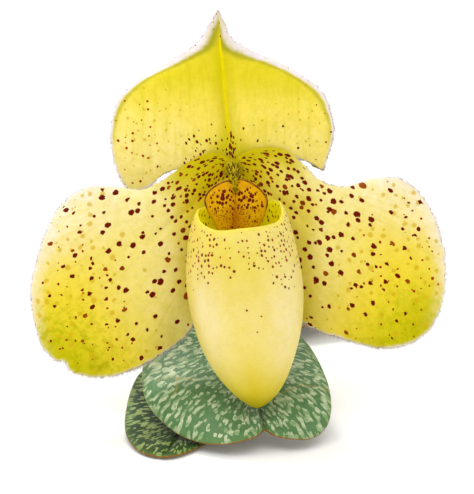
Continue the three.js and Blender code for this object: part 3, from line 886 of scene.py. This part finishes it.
bead = np.linspace(0, np.pi, pouch["lipRings"] + 2)[1:-1, None, None]
rimBead = wall[-1] + half[-1] * (np.cos(bead) * normals[-1] + np.sin(bead) * upward)
points = np.concatenate([wall + normals * half, rimBead, (wall - normals * half)[::-1]])


def wallField(outer, inner=None):  # a field over the outer wall, the rim and the inner wall
    bead = np.repeat(outer[-1:], pouch["lipRings"], 0)
    return np.concatenate([outer, bead, (outer if inner is None else inner)[::-1]])


drop = rim - y  # distance below the rim
front = 0.5 + 0.5 * np.cos(angle)
sideMost = abs(np.sin(angle))
tint = layTint(
    (247, 227, 136),
    (0.6 * ramp(-np.sin(angle), 0.4, 1.0) * ramp(v, 0.3, 0.6), (226, 198, 70)),
    # painted highlights: ivory patches on both flanks of the belly, where the side light falls
    (0.75 * bump(abs(angle), 0.8, 0.4) * bump(y, -26, 8), (255, 240, 182)),
    (0.55 * bump(angle, -0.5, 0.4) * bump(drop, 4, 5), (236, 212, 82)),
    (0.5 * bump(angle, 0.0, 0.5) * bump(drop, 6.5, 4), (240, 220, 92)),
    (0.45 * bump(angle, 0, 0.28) * ramp(-y, 26, 36), (236, 214, 70)),
    (0.3 * bump(angle, 0, 0.35) * bump(y, -29, 3.5), (252, 236, 160)),
    (0.85 * fall(y, -40.5, -32.5), (224, 204, 30)),
    (0.95 * fall(y, -42, -38.5), (190, 174, 0)),
    (0.6 * fall(drop, 0.0, 1.0), (250, 222, 70)),
    (0.6 * fall(front, 0.0, 0.5), (222, 206, 90)),
)
shoulders = 0.6 + 0.4 * ramp(sideMost, 0.25, 0.75)
outerDots = 0.66 * ramp(drop, 0.3, 1.2) * fall(drop, 5, 11 + 3 * sideMost) * shoulders
outerDots = outerDots + 0.012 * fall(drop, 16, 22)
shell = {
    "points": points,
    "faces": roundFaces(*points.shape[:2]),
    "fields": {
        "tint": wallField(tint * [0.945, 0.955, 0.94]),
        "within": wallField(0 * x, 1 + 0 * x),
        "flat": wallField(joined(angle * pouch["halfWidth"] * 0.9, y, 0)),
        "dotChance": wallField(outerDots, 0.5 * fall(drop, 6, 12)),
    },
}


def pouchNodes(tree):
    place = objectPlace(tree)
    mottle = between(tree, noise(tree, place, 420.0, 4.0, 0.6), 0.4, 0.75)
    fine = noise(tree, place, 4200.0, 2.0)
    dotPlace = scaled(tree, field(tree, "flat"), (1.35, 1.1, 1))
    dots, tone = spots(tree, dotPlace, field(tree, "dotChance"), 0.275, 0.8, 0.25, 0.3)
    colour = layered(
        tree, field(tree, "tint"),
        (mottle, (0.96, 0.94, 0.75), "MULTIPLY"),
        (between(tree, fine, 0.35, 0.7), (0.96, 0.955, 0.86), "MULTIPLY"),
        # the inner wall's own deep yellow, painted brighter than the other paints as painted light for the
        # light that comes through the thin wall
        (field(tree, "within"), linear(255, 240, 14)),
        (times(tree, dots, 0.97), layered(tree, paint(98, 0, 0), (tone, paint(160, 44, 0)))),
    )
    normal = relief(tree, fine, 0.00004, 0.9, relief(tree, noise(tree, place, 700.0, 2.0), 0.00012, 0.3))
    return surface(tree, colour, normal, fine, 0.4, 0.52)


pouchSkin = skin(
    "waxy pouch skin", pouchNodes, Subsurface_Weight=0.8, Subsurface_Scale=0.0024,
    Subsurface_Radius=(1.0, 0.8, 0.1), Specular_IOR_Level=0.25, Specular_Tint=waxTint,
)
makePiece("pouch", [shell], [pouchSkin], "lip")

column = {
    "stalk": [[0, 0, 0.1], [0, -0.1, 3], [0.1, -0.7, 6.4]],
    "stalkRadius": [1.7, 1.5, 1.2, 0.8],
    "balls": [  # centre, radii and paleness: the stigma and the two anthers
        ((0.1, -2.9, 5.3), (2, 1.2, 1.4), 0.5),
        ((-1.8, -3.4, 4.9), (1.1, 1, 1.2), 0.9),
        ((1.8, -3.4, 4.9), (1.1, 1, 1.2), 0.9),
    ],
    "furrows": 0.03,
    "ballRings": 25,
    "ballSides": 36,
    "coat": {
        "hairs": 220, "rows": (0.15, 0.85), "stray": 0.3, "lengths": (0.2, 0.4), "radius": 0.016,
        "tones": (0, 0.4),
    },
}


# An ellipsoid in the flower's frame, with faint furrows from pole to pole.
def ballShell(centre, radii, pale):
    tall = np.linspace(0, np.pi, column["ballRings"])[:, None]
    turn = np.linspace(0, 2 * np.pi, column["ballSides"] + 1)[None, :]
    girth = np.sin(tall) * (1 + column["furrows"] * np.cos(6 * turn) * np.sin(tall))
    ball = joined(girth * np.cos(turn), girth * np.sin(turn), np.cos(tall))
    fields = {"pale": np.full(girth.shape, pale)}
    return {"points": inFlower(ball * radii + centre), "faces": roundFaces(*girth.shape), "fields": fields}


def columnNodes(tree):
    place = objectPlace(tree)
    dots, _ = spots(tree, scaled(tree, place, (900, 900, 900)), 0.4, 0.28, 0.9, 0.4, 0.3, False)
    colour = layered(
        tree, paint(184, 162, 0),
        (noise(tree, place, 600.0, 4.0), paint(206, 184, 0)),
        (field(tree, "pale"), paint(206, 180, 20)),
        (times(tree, dots, 0.3), paint(120, 80, 18)),
    )
    normal = relief(tree, noise(tree, place, 2500.0, 3.0), 0.00008, 0.5)
    return surface(tree, colour, normal, noise(tree, place, 1500.0), 0.4, 0.6)


columnSkin = skin(
    "column skin", columnNodes, Subsurface_Weight=0.1, Subsurface_Scale=0.0005,
    Specular_IOR_Level=0.15, Specular_Tint=waxTint,
)
stalk = carriedToFlower(tubeShell(column["stalk"], column["stalkRadius"], 30, 36, 6))
columnShells = [stalk, *(ballShell(*ball) for ball in column["balls"])]
makePiece("column_stalk", columnShells, [columnSkin], "column")
makePiece("column_hair", [hairCoat(stalk, **column["coat"])], [bossFuzz])

shield = {
    "thickness": 0.9,
    "rounding": 0.45,
    "rows": 110,
    "columns": 101,
    "height": 7.2,
    "middle": 0.5,
    "dome": 1.5,
    "domeOff": 2.7,
    "domeWidth": 3.6,
    "groove": 0.2,
    "left": [
        [0.2, -2.8], [-1.2, -2.3], [-3.6, -3.5], [-5, -5.5], [-4.7, -7.4], [-3.4, -9.8], [-2.4, -11.6],
        [-0.8, -12.9], [0.6, -13.2],
    ],
    "right": [
        [0.2, -2.8], [1.8, -2.1], [4.4, -3.4], [6.1, -5.7], [5.8, -8], [5, -9.8], [3.8, -11.6],
        [2.2, -12.9], [0.6, -13.2],
    ],
    "midrib": [[0.2, -2.8], [0.5, -10.6]],
    "boss": [[0.1, -0.6, 4.6], [0.15, -1.2, 6.9], [0.25, -2.8, 8.4], [0.45, -4.6, 8.7], [0.6, -6.8, 8.4]],
    "bossRadius": [1.0, 1.1, 0.95, 0.6, 0.36, 0.2],
    "coat": {
        "hairs": 140, "rows": (0.0, 0.7), "columns": (0.03, 0.47), "stray": 0.2, "lengths": (0.55, 1.05),
        "radius": 0.08, "centre": (0.3, -3.6, 7.4),
    },
}
grid = bladeGrid(shield)
x, y, edge = grid["x"], grid["y"], grid["edge"]
# height = two domes sqrt(1 - ((offset - domeOff) / domeWidth)^2) with a groove between them
offset = abs(x - shield["middle"])
dome = (offset - shield["domeOff"]) / shield["domeWidth"]
dome = shield["dome"] * np.sqrt(np.maximum(0, 1 - dome**2))
groove = shield["groove"] * bump(offset, 0, 0.7) * ramp(-y, 4, 6)
z = shield["height"] + dome + 0.5 * np.cos((y + 7) / 3) - groove + 0.05 * unevenness(x, y, 2.5, 51)
spotted = ramp(offset, 0.2, 0.7) * ramp(edge, 0.6, 1.1) * ramp(-y, 3.2, 4.4)
upper = fall(-y, 6.4, 8)
large = ramp(-y, 3.4, 4.4) * upper * bump(offset, 2.0, 1.8)
shell = bladeShell(
    shield, grid, inFlower(joined(x, y, z)),
    tint=layTint(
        (226, 164, 0),
        (0.6 * bump(offset, 3.2, 1.8) * ramp(-y, 3, 7), (238, 188, 0)),
        (0.8 * bump(offset, 0, 1.3) * ramp(-y, 5, 8), (190, 112, 0)),
        # painted shade: a dark maroon line along the upper rim, where it turns away from the light
        (1.8 * bump(edge, 0.27, 0.14) * upper, (48, 0, 0)),
    ),
    flat=joined(x, y, 0),
    spotChance=0.95 * spotted * (1 - 0.75 * ramp(-y, 7.2, 9)),
    spotSize=0.24 + 0.26 * large,
    dotChance=0.75 * spotted * ramp(-y, 6.2, 8.4),
)


def shieldNodes(tree):
    flat = field(tree, "flat")
    mottle = between(tree, noise(tree, flat, 1.1, 4.0, 0.6), 0.35, 0.7, 0.0, 0.5)
    dashPlace, dotPlace = scaled(tree, flat, (1.9, 1.3, 1), turn=0.35), scaled(tree, flat, (2.7, 2.2, 1))
    dashChance, dashSize = field(tree, "spotChance"), field(tree, "spotSize")
    dashes, _ = spots(tree, dashPlace, dashChance, dashSize, 1.0, 0.2, 0.3)
    dots, _ = spots(tree, dotPlace, field(tree, "dotChance"), 0.27, 1.0, 0.3, 0.3)
    colour = layered(
        tree, field(tree, "tint"),
        (mottle, paint(200, 130, 2)),
        (dashes, paint(104, 4, 0)),
        (times(tree, dots, 0.85), paint(118, 10, 0)),
    )
    fine = noise(tree, flat, 6.0, 3.0)
    return surface(tree, colour, relief(tree, fine, 0.00006, 0.6), fine, 0.25, 0.4)


def heightInPlant(tree, place):
    return addNode(tree, "SeparateXYZ", {"Vector": place}).outputs[2]


def bossNodes(tree):
    place = objectPlace(tree)
    colour = layered(
        tree, paint(168, 140, 0),
        (noise(tree, place, 700.0, 4.0), paint(200, 174, 0)),
        (between(tree, heightInPlant(tree, place), 0.042, 0.0448, 0.9, 0.0), paint(124, 94, 0)),
    )
    normal = relief(tree, noise(tree, place, 2600.0, 3.0), 0.00012, 0.6)
    return surface(tree, colour, normal, noise(tree, place, 1800.0), 0.45, 0.65)


shieldSkin = skin("satin shield skin", shieldNodes, Specular_IOR_Level=0.15, Specular_Tint=waxTint)
bossSkin = skin("green boss skin", bossNodes, Specular_IOR_Level=0.15, Specular_Tint=waxTint)
boss = carriedToFlower(tubeShell(shield["boss"], shield["bossRadius"], 40, 36, 6))
boss["material"] = 1
makePiece("shield", [shell, boss], [shieldSkin, bossSkin], "staminode")
makePiece("boss_hair", [hairCoat(boss, **shield["coat"])], [bossFuzz])
print("pouch, column and shield done")

leafSheet = {
    "thickness": 1.1,
    "rounding": 0.4,
    "thinEdge": 0.45,
    "lowest": 0.0,
    "rows": 170,
    "columns": 131,
    "uneven": 0.12,
    "groove": 0.35,
    "scarWidth": 0.11,
}
lyingLeaf = {"fold": [0, 12, 18, 14, 6, 0], "turn": [0, -0.4, -0.8, -1, -0.8, 0], "roll": [0, 0]}
# a leaf's shade is painted shade, for leaves that lie in the others' shadow
leaves = {
    "front_leaf": {
        "node": "leaf_front",
        "heading": 186,
        "shade": 0.0,
        "right": [
            [5, 0], [5.4, 5], [9, 11], [16, 18], [19.6, 24], [20.6, 31.4], [20, 38], [16.8, 45],
            [12, 51], [7, 54], [2.4, 53.4], [0, 50.4],
        ],
        "left": [
            [-5, 0], [-5.2, 5], [-6.8, 11], [-9.2, 18.3], [-11.6, 28], [-12.8, 36], [-13, 42],
            [-12.2, 46.4], [-10, 49.8], [-6.6, 52.2], [-2.4, 52.6], [0, 50.4],
        ],
        "midrib": [[0, 0], [0, 44]],
        "spine": [
            [0, 7, 1.8], [0, 7.8, 5], [0, 13, 8.4], [0, 24, 9.2], [0, 34, 8], [0, 42, 6.4],
            [0, 50, 4.4], [0, 57.6, 2.6],
        ],
        "fold": [0, 30, 30, 24, 18, 6],
        "turn": [8, 0.4, -2.2, -2.4, -2.9, -4],
        "roll": [0, 0, -4, -3, -0.5, 6],
        "scars": [
            [[18, 32.5], [16.8, 32.7], [15.3, 32.6], [14.2, 33.4], [12.1, 34.9], [10.6, 35]],
            [[14.2, 33.4], [14.3, 36.3], [15, 38.2]],
            [[-4.4, 41], [-6.6, 39.9], [-8, 39.2], [-9.5, 39.5], [-11.3, 39.8], [-12.9, 40.4]],
        ],
    },
    "low_front_leaf": {
        "node": "leaf_front_low",
        "heading": 168.5,
        "shade": 0.9,
        "right": [
            [4.2, 0], [5, 4], [9.6, 12], [12.4, 19], [12.9, 24], [12, 32], [9.8, 42], [6.4, 49.6],
            [3, 52.8], [0, 53.6],
        ],
        "left": [
            [-4.2, 0], [-5, 4], [-8.6, 12], [-10.6, 22], [-9.6, 31], [-7, 41], [-4.4, 47.8],
            [-2.2, 52], [0, 53.6],
        ],
        "midrib": [[0, 0], [0, 45]],
        "spine": [[0, 5.9, 0.6], [0, 10, 0.8], [0, 16, 1], [0, 26, 0.8], [0, 36, 0.6], [0, 60, 0.56]],
        "fold": [0, 12, 18, 12, 6, 2, 1],
        "turn": [0, 0],
        "roll": [0, 2, 4, 2, 1, 0, 0],
    },
    "back_leaf": {
        "node": "leaf_back",
        "heading": 8,
        "shade": 0.1,
        "halves": ([5, 6, 13, 16.6, 18, 17.6, 15.4, 10.6, 1.4], [5, 6, 13, 16.8, 18, 17.4, 15, 10.4, 1.4]),
        "length": 80,
        "notch": 2,
        "spine": [
            [0, 7, 1.8], [0, 7.8, 5], [0, 14, 9.6], [0, 28, 12], [0, 44, 10.6], [0, 60, 6], [0, 78, 0.7],
        ],
        "fold": [0, 32, 26, 22, 14, 2],
        "turn": [8, 0.4, -0.8, -1.4, -1.6, -0.4],
        "roll": [0, 0],
    },
    "right_back_leaf": {
        "node": "leaf_back_right",
        "heading": -28,
        "shade": 0.2,
        "halves": (
            [3.6, 4, 7.4, 11.6, 13.6, 13.4, 11.6, 8, 1.2], [3.6, 4, 7.4, 11.6, 13.8, 13.6, 11.8, 8, 1.2],
        ),
        "length": 58,
        "notch": 1.5,
        "spine": [[0, 5.9, 0.6], [0, 12, 1.4], [0, 24, 3], [0, 38, 3.2], [0, 52, 1.6], [0, 66, 0.5]],
        **lyingLeaf,
    },
    "left_back_leaf": {
        "node": "leaf_back_left",
        "heading": 46,
        "shade": 0.2,
        "halves": (
            [3.6, 4.2, 7.4, 10.6, 12, 11.6, 9.8, 6.8, 1.2], [3.6, 4.2, 7.4, 10.6, 12.2, 12, 10.2, 7, 1.2],
        ),
        "length": 44,
        "notch": 1.2,
        "spine": [[0, 5.9, 0.6], [0, 12, 1.3], [0, 22, 2.6], [0, 34, 2.4], [0, 44, 1], [0, 54, 0.5]],
        **lyingLeaf,
    },
}


# Lays a flat leaf along its spine. Each half leaves the midrib at the fold angle and turns by so many
# degrees a millimetre: across = (sin end - sin start) / bend, up = (cos start - cos end) / bend.
def layLeaf(leaf, x, y):
    share = np.clip(y / lineLength(leaf["spine"]), 0, 1)
    tangent = lineDirection(leaf["spine"], share)
    up = joined(0, -tangent[..., 2], tangent[..., 1])
    side = np.where(x < 0, -1, 1)
    start = np.radians(smoothValue(leaf["fold"], share) + side * smoothValue(leaf["roll"], share))
    bend = np.radians(smoothValue(leaf["turn"], share))
    bend = np.where(abs(bend) < 1e-6, 1e-6, bend)
    end = start + bend * abs(x)
    lift = (np.cos(start) - np.cos(end)) / bend
    points = smoothLine(leaf["spine"], share) + up * lift[..., None]
    points[..., 0] += side * (np.sin(end) - np.sin(start)) / bend
    return points


def turned(points, degrees):  # about the upright axis through the crown
    turn = np.radians(degrees)
    x, y, z = np.moveaxis(points, -1, 0)
    return joined(x * np.cos(turn) - y * np.sin(turn), x * np.sin(turn) + y * np.cos(turn), z)


# The leaf pattern: noise stretched into bars across the veins and cut off at a level. The distance from
# the middle of a cell lowers the level, so that the bars end or break there, and a slow drift makes
# some places paler than others.
def leafNodes(tree):
    flat, inset, shade = (field(tree, name) for name in ("flat", "inset", "shade"))
    bent = wobbled(tree, scaled(tree, field(tree, "bars"), (0.5, 1.0, 1)), 0.6, 0.7)
    apart = cells(tree, wobbled(tree, scaled(tree, bent, (1.15, 1.0, 1)), 1.6, 0.35), 0.9)["Distance"]
    bars = noise(tree, bent, 1.0, 2.0, 0.45)
    drift = noise(tree, flat, 0.16, 2.0)
    level = maths(tree, "ADD", bars, maths(tree, "MULTIPLY_ADD", apart, -0.5, 0.21))
    level = maths(tree, "ADD", level, maths(tree, "MULTIPLY_ADD", drift, 0.3, -0.15))
    # painted shade: the shade field darkens leaves that lie in the others' shadow, the low front leaf most,
    # and thins their pale bars
    level = maths(tree, "SUBTRACT", level, times(tree, shade, 0.025))
    level = maths(tree, "SUBTRACT", level, field(tree, "sparse"))
    tone = between(tree, noise(tree, scaled(tree, flat, (0.5, 0.9, 1), (4, 9, 0)), 1.0, 3.0), 0.35, 0.65)
    silver = layered(tree, paint(136, 168, 118), (tone, paint(208, 218, 170)), (shade, paint(156, 174, 104)))
    # painted shade: a dark line down the midrib's crease
    paintedMidribShade = between(tree, maths(tree, "ABSOLUTE", field(tree, "spread")), 0.0, 1.1, 0.8, 0.0)
    flush = between(tree, noise(tree, flat, 0.35, 3.0), 0.35, 0.65, 0.1, 0.9)
    back = times(tree, field(tree, "behind"), between(tree, inset, 0.25, 0.9))
    colour = layered(
        tree, paint(70, 108, 74),
        (noise(tree, flat, 0.5, 5.0, 0.6), paint(108, 150, 106)),
        # painted shade: darker green where a leaf lies in shadow
        (shade, paint(30, 60, 16)),
        (times(tree, between(tree, level, 0.49, 0.508), 0.92), silver),
        (paintedMidribShade, paint(36, 58, 22)),
        (between(tree, inset, 0.3, 1.5, 0.4, 0.0), paint(100, 136, 78)),
        (between(tree, inset, 0.03, 0.12, 0.9, 0.0), paint(150, 96, 52)),
        (field(tree, "scar"), paint(186, 160, 92)),
        (back, layered(tree, paint(120, 134, 76), (flush, paint(104, 62, 62)))),
    )
    veins = noise(tree, scaled(tree, flat, (2.6, 0.12, 1)), 1.0, 2.0)
    pores = noise(tree, flat, 5.0, 3.0, 0.6)
    normal = relief(tree, pores, 0.00006, 0.5, relief(tree, veins, 0.00022, 0.5))
    return surface(tree, colour, normal, pores, 0.34, 0.5)


leafSkin = skin("mottled leaf skin", leafNodes, Specular_IOR_Level=0.16)


# Old cracks in the skin: 1 on each line, falling as the bell of the distance from it.
def scarMask(leaf, x, y):
    mask = 0 * x
    for line in leaf.get("scars", ()):
        for spotX, spotY in smoothLine(line, np.linspace(0, 1, 60)):
            mask = np.maximum(mask, bump(np.hypot(x - spotX, y - spotY), 0, leaf["scarWidth"]))
    return mask


for number, (name, leaf) in enumerate(leaves.items()):
    leaf = {**leafSheet, **leaf}
    if "halves" in leaf:
        length, notch = leaf["length"], leaf["notch"]
        for side, sign, half in zip(("right", "left"), (1, -1), leaf["halves"]):
            steps = [[sign * reach, length * i / 8] for i, reach in enumerate(half)]
            leaf[side] = steps + [[0, length - notch]]
        leaf["midrib"] = [[0, 0], [0, 0.84 * length - notch]]
    grid = bladeGrid(leaf)
    x, y = grid["x"], grid["y"]
    aside = 40 * number  # each leaf has its own part of the pattern
    points = layLeaf(leaf, x, y)
    points[..., 2] += leaf["uneven"] * unevenness(x, y, 11, 70 + number) * ramp(y, 8, 20)
    points[..., 2] -= leaf["groove"] * bump(x, 0, 0.7) * ramp(y, 4, 12) * ramp(grid["inset"], 0.3, 2.5)
    sparse = 0.045 * ramp(y, 36, 46) * ramp(x, -2, 4) + 0.02 * bump(np.hypot(x - 6, y - 36), 0, 6)
    shell = bladeShell(
        leaf, grid, turned(points, leaf["heading"]),
        flat=joined(x + aside, y, 0),
        bars=joined(grid["spread"] + aside, 60 * grid["along"], 0),
        inset=grid["edge"],
        spread=x,
        shade=leaf["shade"],
        sparse=sparse + 0.05 * bump(x, 0, 3.2) * ramp(y, 26, 34),
        scar=0.9 * scarMask(leaf, x, y),
    )
    makePiece(name, [shell], [leafSkin], leaf["node"])
print("leaves done")

stem = {
    "scape": [[0, 0, 9.6], [0, 0.3, 17]],
    "scapeRadius": [2.0, 2.0],
    "ovary": [
        [0, 0.4, 17.3], [0, 0.3, 25], [0, -3.2, 33.5], [0, -10, 39.2], [0, -19, 42.6], [0, -24.1, 43.95],
    ],
    "ovaryRadius": [1.9, 1.9, 2.3, 2.7, 2.7, 2.3, 2.6],
    "ribDepth": 0.09,
    "ovaryCoat": {"hairs": 2600, "rows": (0.04, 0.95), "lengths": (0.4, 0.9)},
    "scapeCoat": {"hairs": 500, "rows": (0.2, 0.9), "lengths": (0.4, 0.8)},
    "bothCoats": {"stray": 0.25, "radius": 0.024, "droop": 0.1},
}


def stemNodes(tree):
    place = objectPlace(tree)
    flecks, _ = spots(tree, scaled(tree, place, (1100, 1100, 1100)), 0.45, 0.3, 0.9, 0.5, 0.3, False)
    colour = layered(
        tree, paint(112, 128, 48),
        (noise(tree, place, 260.0, 4.0), paint(160, 164, 74)),
        (times(tree, flecks, 0.75), paint(104, 58, 62)),
        (field(tree, "furrow"), paint(86, 100, 34)),
    )
    normal = relief(tree, noise(tree, place, 2000.0, 3.0), 0.0001, 0.6)
    return surface(tree, colour, normal, noise(tree, place, 900.0), 0.5, 0.7)


stemSkin = skin("downy stem skin", stemNodes, Sheen_Weight=0.2, Specular_IOR_Level=0.3)


def ribWave(share, turn):  # six ribs that twist as they go up
    return np.cos(6 * (turn + 1.2 * share))


def ovaryFlute(share, turn):  # the radius is r (1 + d ribWave), and the ribs fade at both ends
    swell = ramp(share, 0.25, 0.5) * fall(share, 0.85, 0.98)
    return stem["ribDepth"] * ribWave(share, turn) * (0.35 + 0.65 * swell)


def ovaryFurrow(share, turn):
    return 0.5 * (0.5 - 0.5 * ribWave(share, turn))


def scapeFlute(share, turn):  # nine faint ridges
    return 0.02 * np.cos(9 * turn)


ovary = tubeShell(stem["ovary"], stem["ovaryRadius"], 150, 84, 5, ovaryFlute, furrow=ovaryFurrow)
makePiece("ovary_stem", [ovary], [stemSkin], "ovary")
scape = tubeShell(stem["scape"], stem["scapeRadius"], 30, 48, 4, scapeFlute)
makePiece("flower_stem", [scape], [stemSkin], "scape")
coats = [hairCoat(ovary, **stem["ovaryCoat"], **stem["bothCoats"])]
coats.append(hairCoat(scape, **stem["scapeCoat"], **stem["bothCoats"]))
makePiece("stem_hair", coats, [darkFuzz])

bract = {
    "thickness": 0.8,
    "rounding": 0.4,
    "rows": 90,
    "columns": 71,
    "fringe": {"hairs": 500, "seed": 83, "lengths": (0.4, 0.9), "skip": 0.1, "lean": 0.8},
    "right": [[2, 0], [4.2, 3], [5, 7], [4, 12], [1.6, 16.5], [0, 18.5]],
    "left": [[-2, 0], [-4.2, 3], [-5, 7], [-4, 12], [-1.6, 16.5], [0, 18.5]],
    "midrib": [[0, 0], [0, 17]],
    "spine": [[0, 3.2, 12], [0, 3.6, 18], [0, 3.9, 25], [0, 3.9, 31]],
    "fold": [0, 0],
    "turn": [17, 16, 14, 10],
    "roll": [0, 0],
}
grid = bladeGrid(bract)
x, y = grid["x"], grid["y"]
points = layLeaf(bract, x, y + 0.03 * np.cos(2 * np.pi * x / 0.9))
shell = bladeShell(bract, grid, points, flat=joined(x, y, 0), inset=grid["inset"])


def bractNodes(tree):
    flat = field(tree, "flat")
    streaks = noise(tree, scaled(tree, flat, (2.4, 0.2, 1)), 1.0, 3.0)
    flecks, _ = spots(tree, scaled(tree, flat, (1.6, 0.9, 1)), 0.5, 0.24, 0.9, 0.4, 0.3)
    colour = layered(
        tree, paint(110, 136, 62),
        (streaks, paint(172, 184, 108)),
        (times(tree, flecks, 0.7), paint(110, 56, 62)),
        (between(tree, field(tree, "inset"), 0.1, 0.6, 0.8, 0.0), paint(196, 190, 130)),
    )
    return surface(tree, colour, relief(tree, streaks, 0.00015, 0.6), streaks, 0.5, 0.65)


bractSkin = skin("streaked bract skin", bractNodes, Specular_IOR_Level=0.3, Sheen_Weight=0.1)
makePiece("bract_sheath", [shell], [bractSkin], "bract")
makePiece("bract_fringe", fringeAlong(shell, **bract["fringe"]), [paleFuzz])

crown = {
    "profile": [[0.01, 0], [5.0, 0], [5.3, 0.25], [6, 2.6], [4.6, 6.4], [3, 9.0], [2.7, 9.3], [0.01, 9.3]],
    "steps": (14, 3, 16, 22, 16, 3, 8),
    "sides": 120,
    "lapDepth": 0.05,
    "fibres": 60,
    "fibreDepth": 0.012,
}
# A turned profile whose wall steps where one sheath laps the next: r (1 - lapDepth sawtooth(2a + z / 2))
corners = crown["profile"]
spans = zip(corners, corners[1:], crown["steps"])
profile = [np.linspace(start, end, steps, endpoint=False) for start, end, steps in spans]
profile = np.concatenate([*profile, corners[-1:]])
turn = np.linspace(0, 2 * np.pi, crown["sides"] + 1)[None, :]
radius, tall = profile[:, :1], profile[:, 1:]
lap = ((2 * turn + 0.5 * tall) / (2 * np.pi)) % 1
wall = ramp(tall, 0.1, 0.8) * fall(tall, 8.6, 9.2)
fibres = crown["fibreDepth"] * np.cos(crown["fibres"] * turn) * wall
lapping = crown["lapDepth"] * wall * ramp(lap, 0.0, 0.92) * fall(lap, 0.92, 1.0)
girth = radius * (1 - lapping + fibres)
points = joined(girth * np.cos(turn), girth * np.sin(turn), tall)
points[0], points[-1] = (0, 0, 0), (0, 0, corners[-1][1])


def crownNodes(tree):
    place = objectPlace(tree)
    height = heightInPlant(tree, place)
    fibre = noise(tree, scaled(tree, place, (900, 900, 60)), 1.0, 3.0)
    cutFace = layered(tree, paint(150, 134, 84), (noise(tree, place, 1300.0, 3.0), paint(204, 194, 140)))
    colour = layered(
        tree, paint(96, 108, 58),
        (fibre, paint(160, 162, 104)),
        (between(tree, height, 0.0, 0.003, 0.8, 0.0), paint(134, 106, 66)),
        (between(tree, height, 0.00002, 0.0002, 0.9, 0.0), cutFace),
    )
    return surface(tree, colour, relief(tree, fibre, 0.0002, 0.6), fibre, 0.55, 0.75)


crownSkin = skin("crown skin", crownNodes, Specular_IOR_Level=0.3)
crownShell = {"points": points, "faces": roundFaces(*points.shape[:2]), "fields": {}}
makePiece("crown_stub", [crownShell], [crownSkin], "crown")
print("stem and crown done")

room = {
    "floor": 3.0,
    "sky": 0.95,
    "aim": (0, -0.03, 0.03),
    "lamps": {  # place, width and watts
        "key": ((-0.6, -0.6, 0.95), 0.5, 2.2),
        "front": ((0.1, -0.9, 1.0), 0.9, 4.85),
        "back": ((-0.35, 0.55, 0.95), 0.5, 6.8),
    },
}


def floorNodes(tree):
    grain = between(tree, noise(tree, objectPlace(tree), 60.0, 3.0), 0.3, 0.7)
    return {"Base Color": layered(tree, linear(240, 239, 237), (grain, linear(243, 242, 240)))}


floorSkin = skin(
    "lit white paper", floorNodes, Roughness=0.9, Specular_IOR_Level=0.0,
    Emission_Color=(1, 0.92, 0.84, 1), Emission_Strength=0.07,
)
floorMesh = bpy.data.meshes.new("paper")
sheet = [(x * room["floor"] / 2, y * room["floor"] / 2, 0) for x, y in ((-1, -1), (1, -1), (1, 1), (-1, 1))]
floorMesh.from_pydata(sheet, [], [(0, 1, 2, 3)])
floorMesh.materials.append(floorSkin)
paper = bpy.data.objects.new("paper", floorMesh)
bpy.context.collection.objects.link(paper)

world = bpy.data.worlds.new("soft room")
world.use_nodes = True
world.node_tree.nodes["Background"].inputs["Color"].default_value = (1, 1, 1, 1)
world.node_tree.nodes["Background"].inputs["Strength"].default_value = room["sky"]
bpy.context.scene.world = world
bpy.context.scene.view_settings.view_transform = "Standard"

for name, (place, width, watts) in room["lamps"].items():
    lamp = bpy.data.lights.new(name, "AREA")
    lamp.shape = "DISK"
    lamp.size = width
    lamp.energy = watts
    box = bpy.data.objects.new(name, lamp)
    box.location = place
    box.rotation_euler = Vector(np.array(room["aim"]) - np.array(place)).to_track_quat("-Z", "Y").to_euler()
    bpy.context.collection.objects.link(box)

# The camera looks straight into the flower, along its own axis.
view = {"distance": 600.0, "right": 0.72, "down": 14.14, "millimetresAcross": 494 * 0.179, "sensor": 36.0}
lens = bpy.data.cameras.new("camera")
lens.sensor_width = view["sensor"]
lens.lens = view["sensor"] * view["distance"] / view["millimetresAcross"]
lens.clip_start = 0.01
camera = bpy.data.objects.new("camera", lens)
camera.location = inFlower([view["right"], -view["down"], view["distance"]]) * metre
camera.rotation_euler = (np.radians(90 - flower["tilt"]), 0, 0)
bpy.context.collection.objects.link(camera)
bpy.context.scene.camera = camera
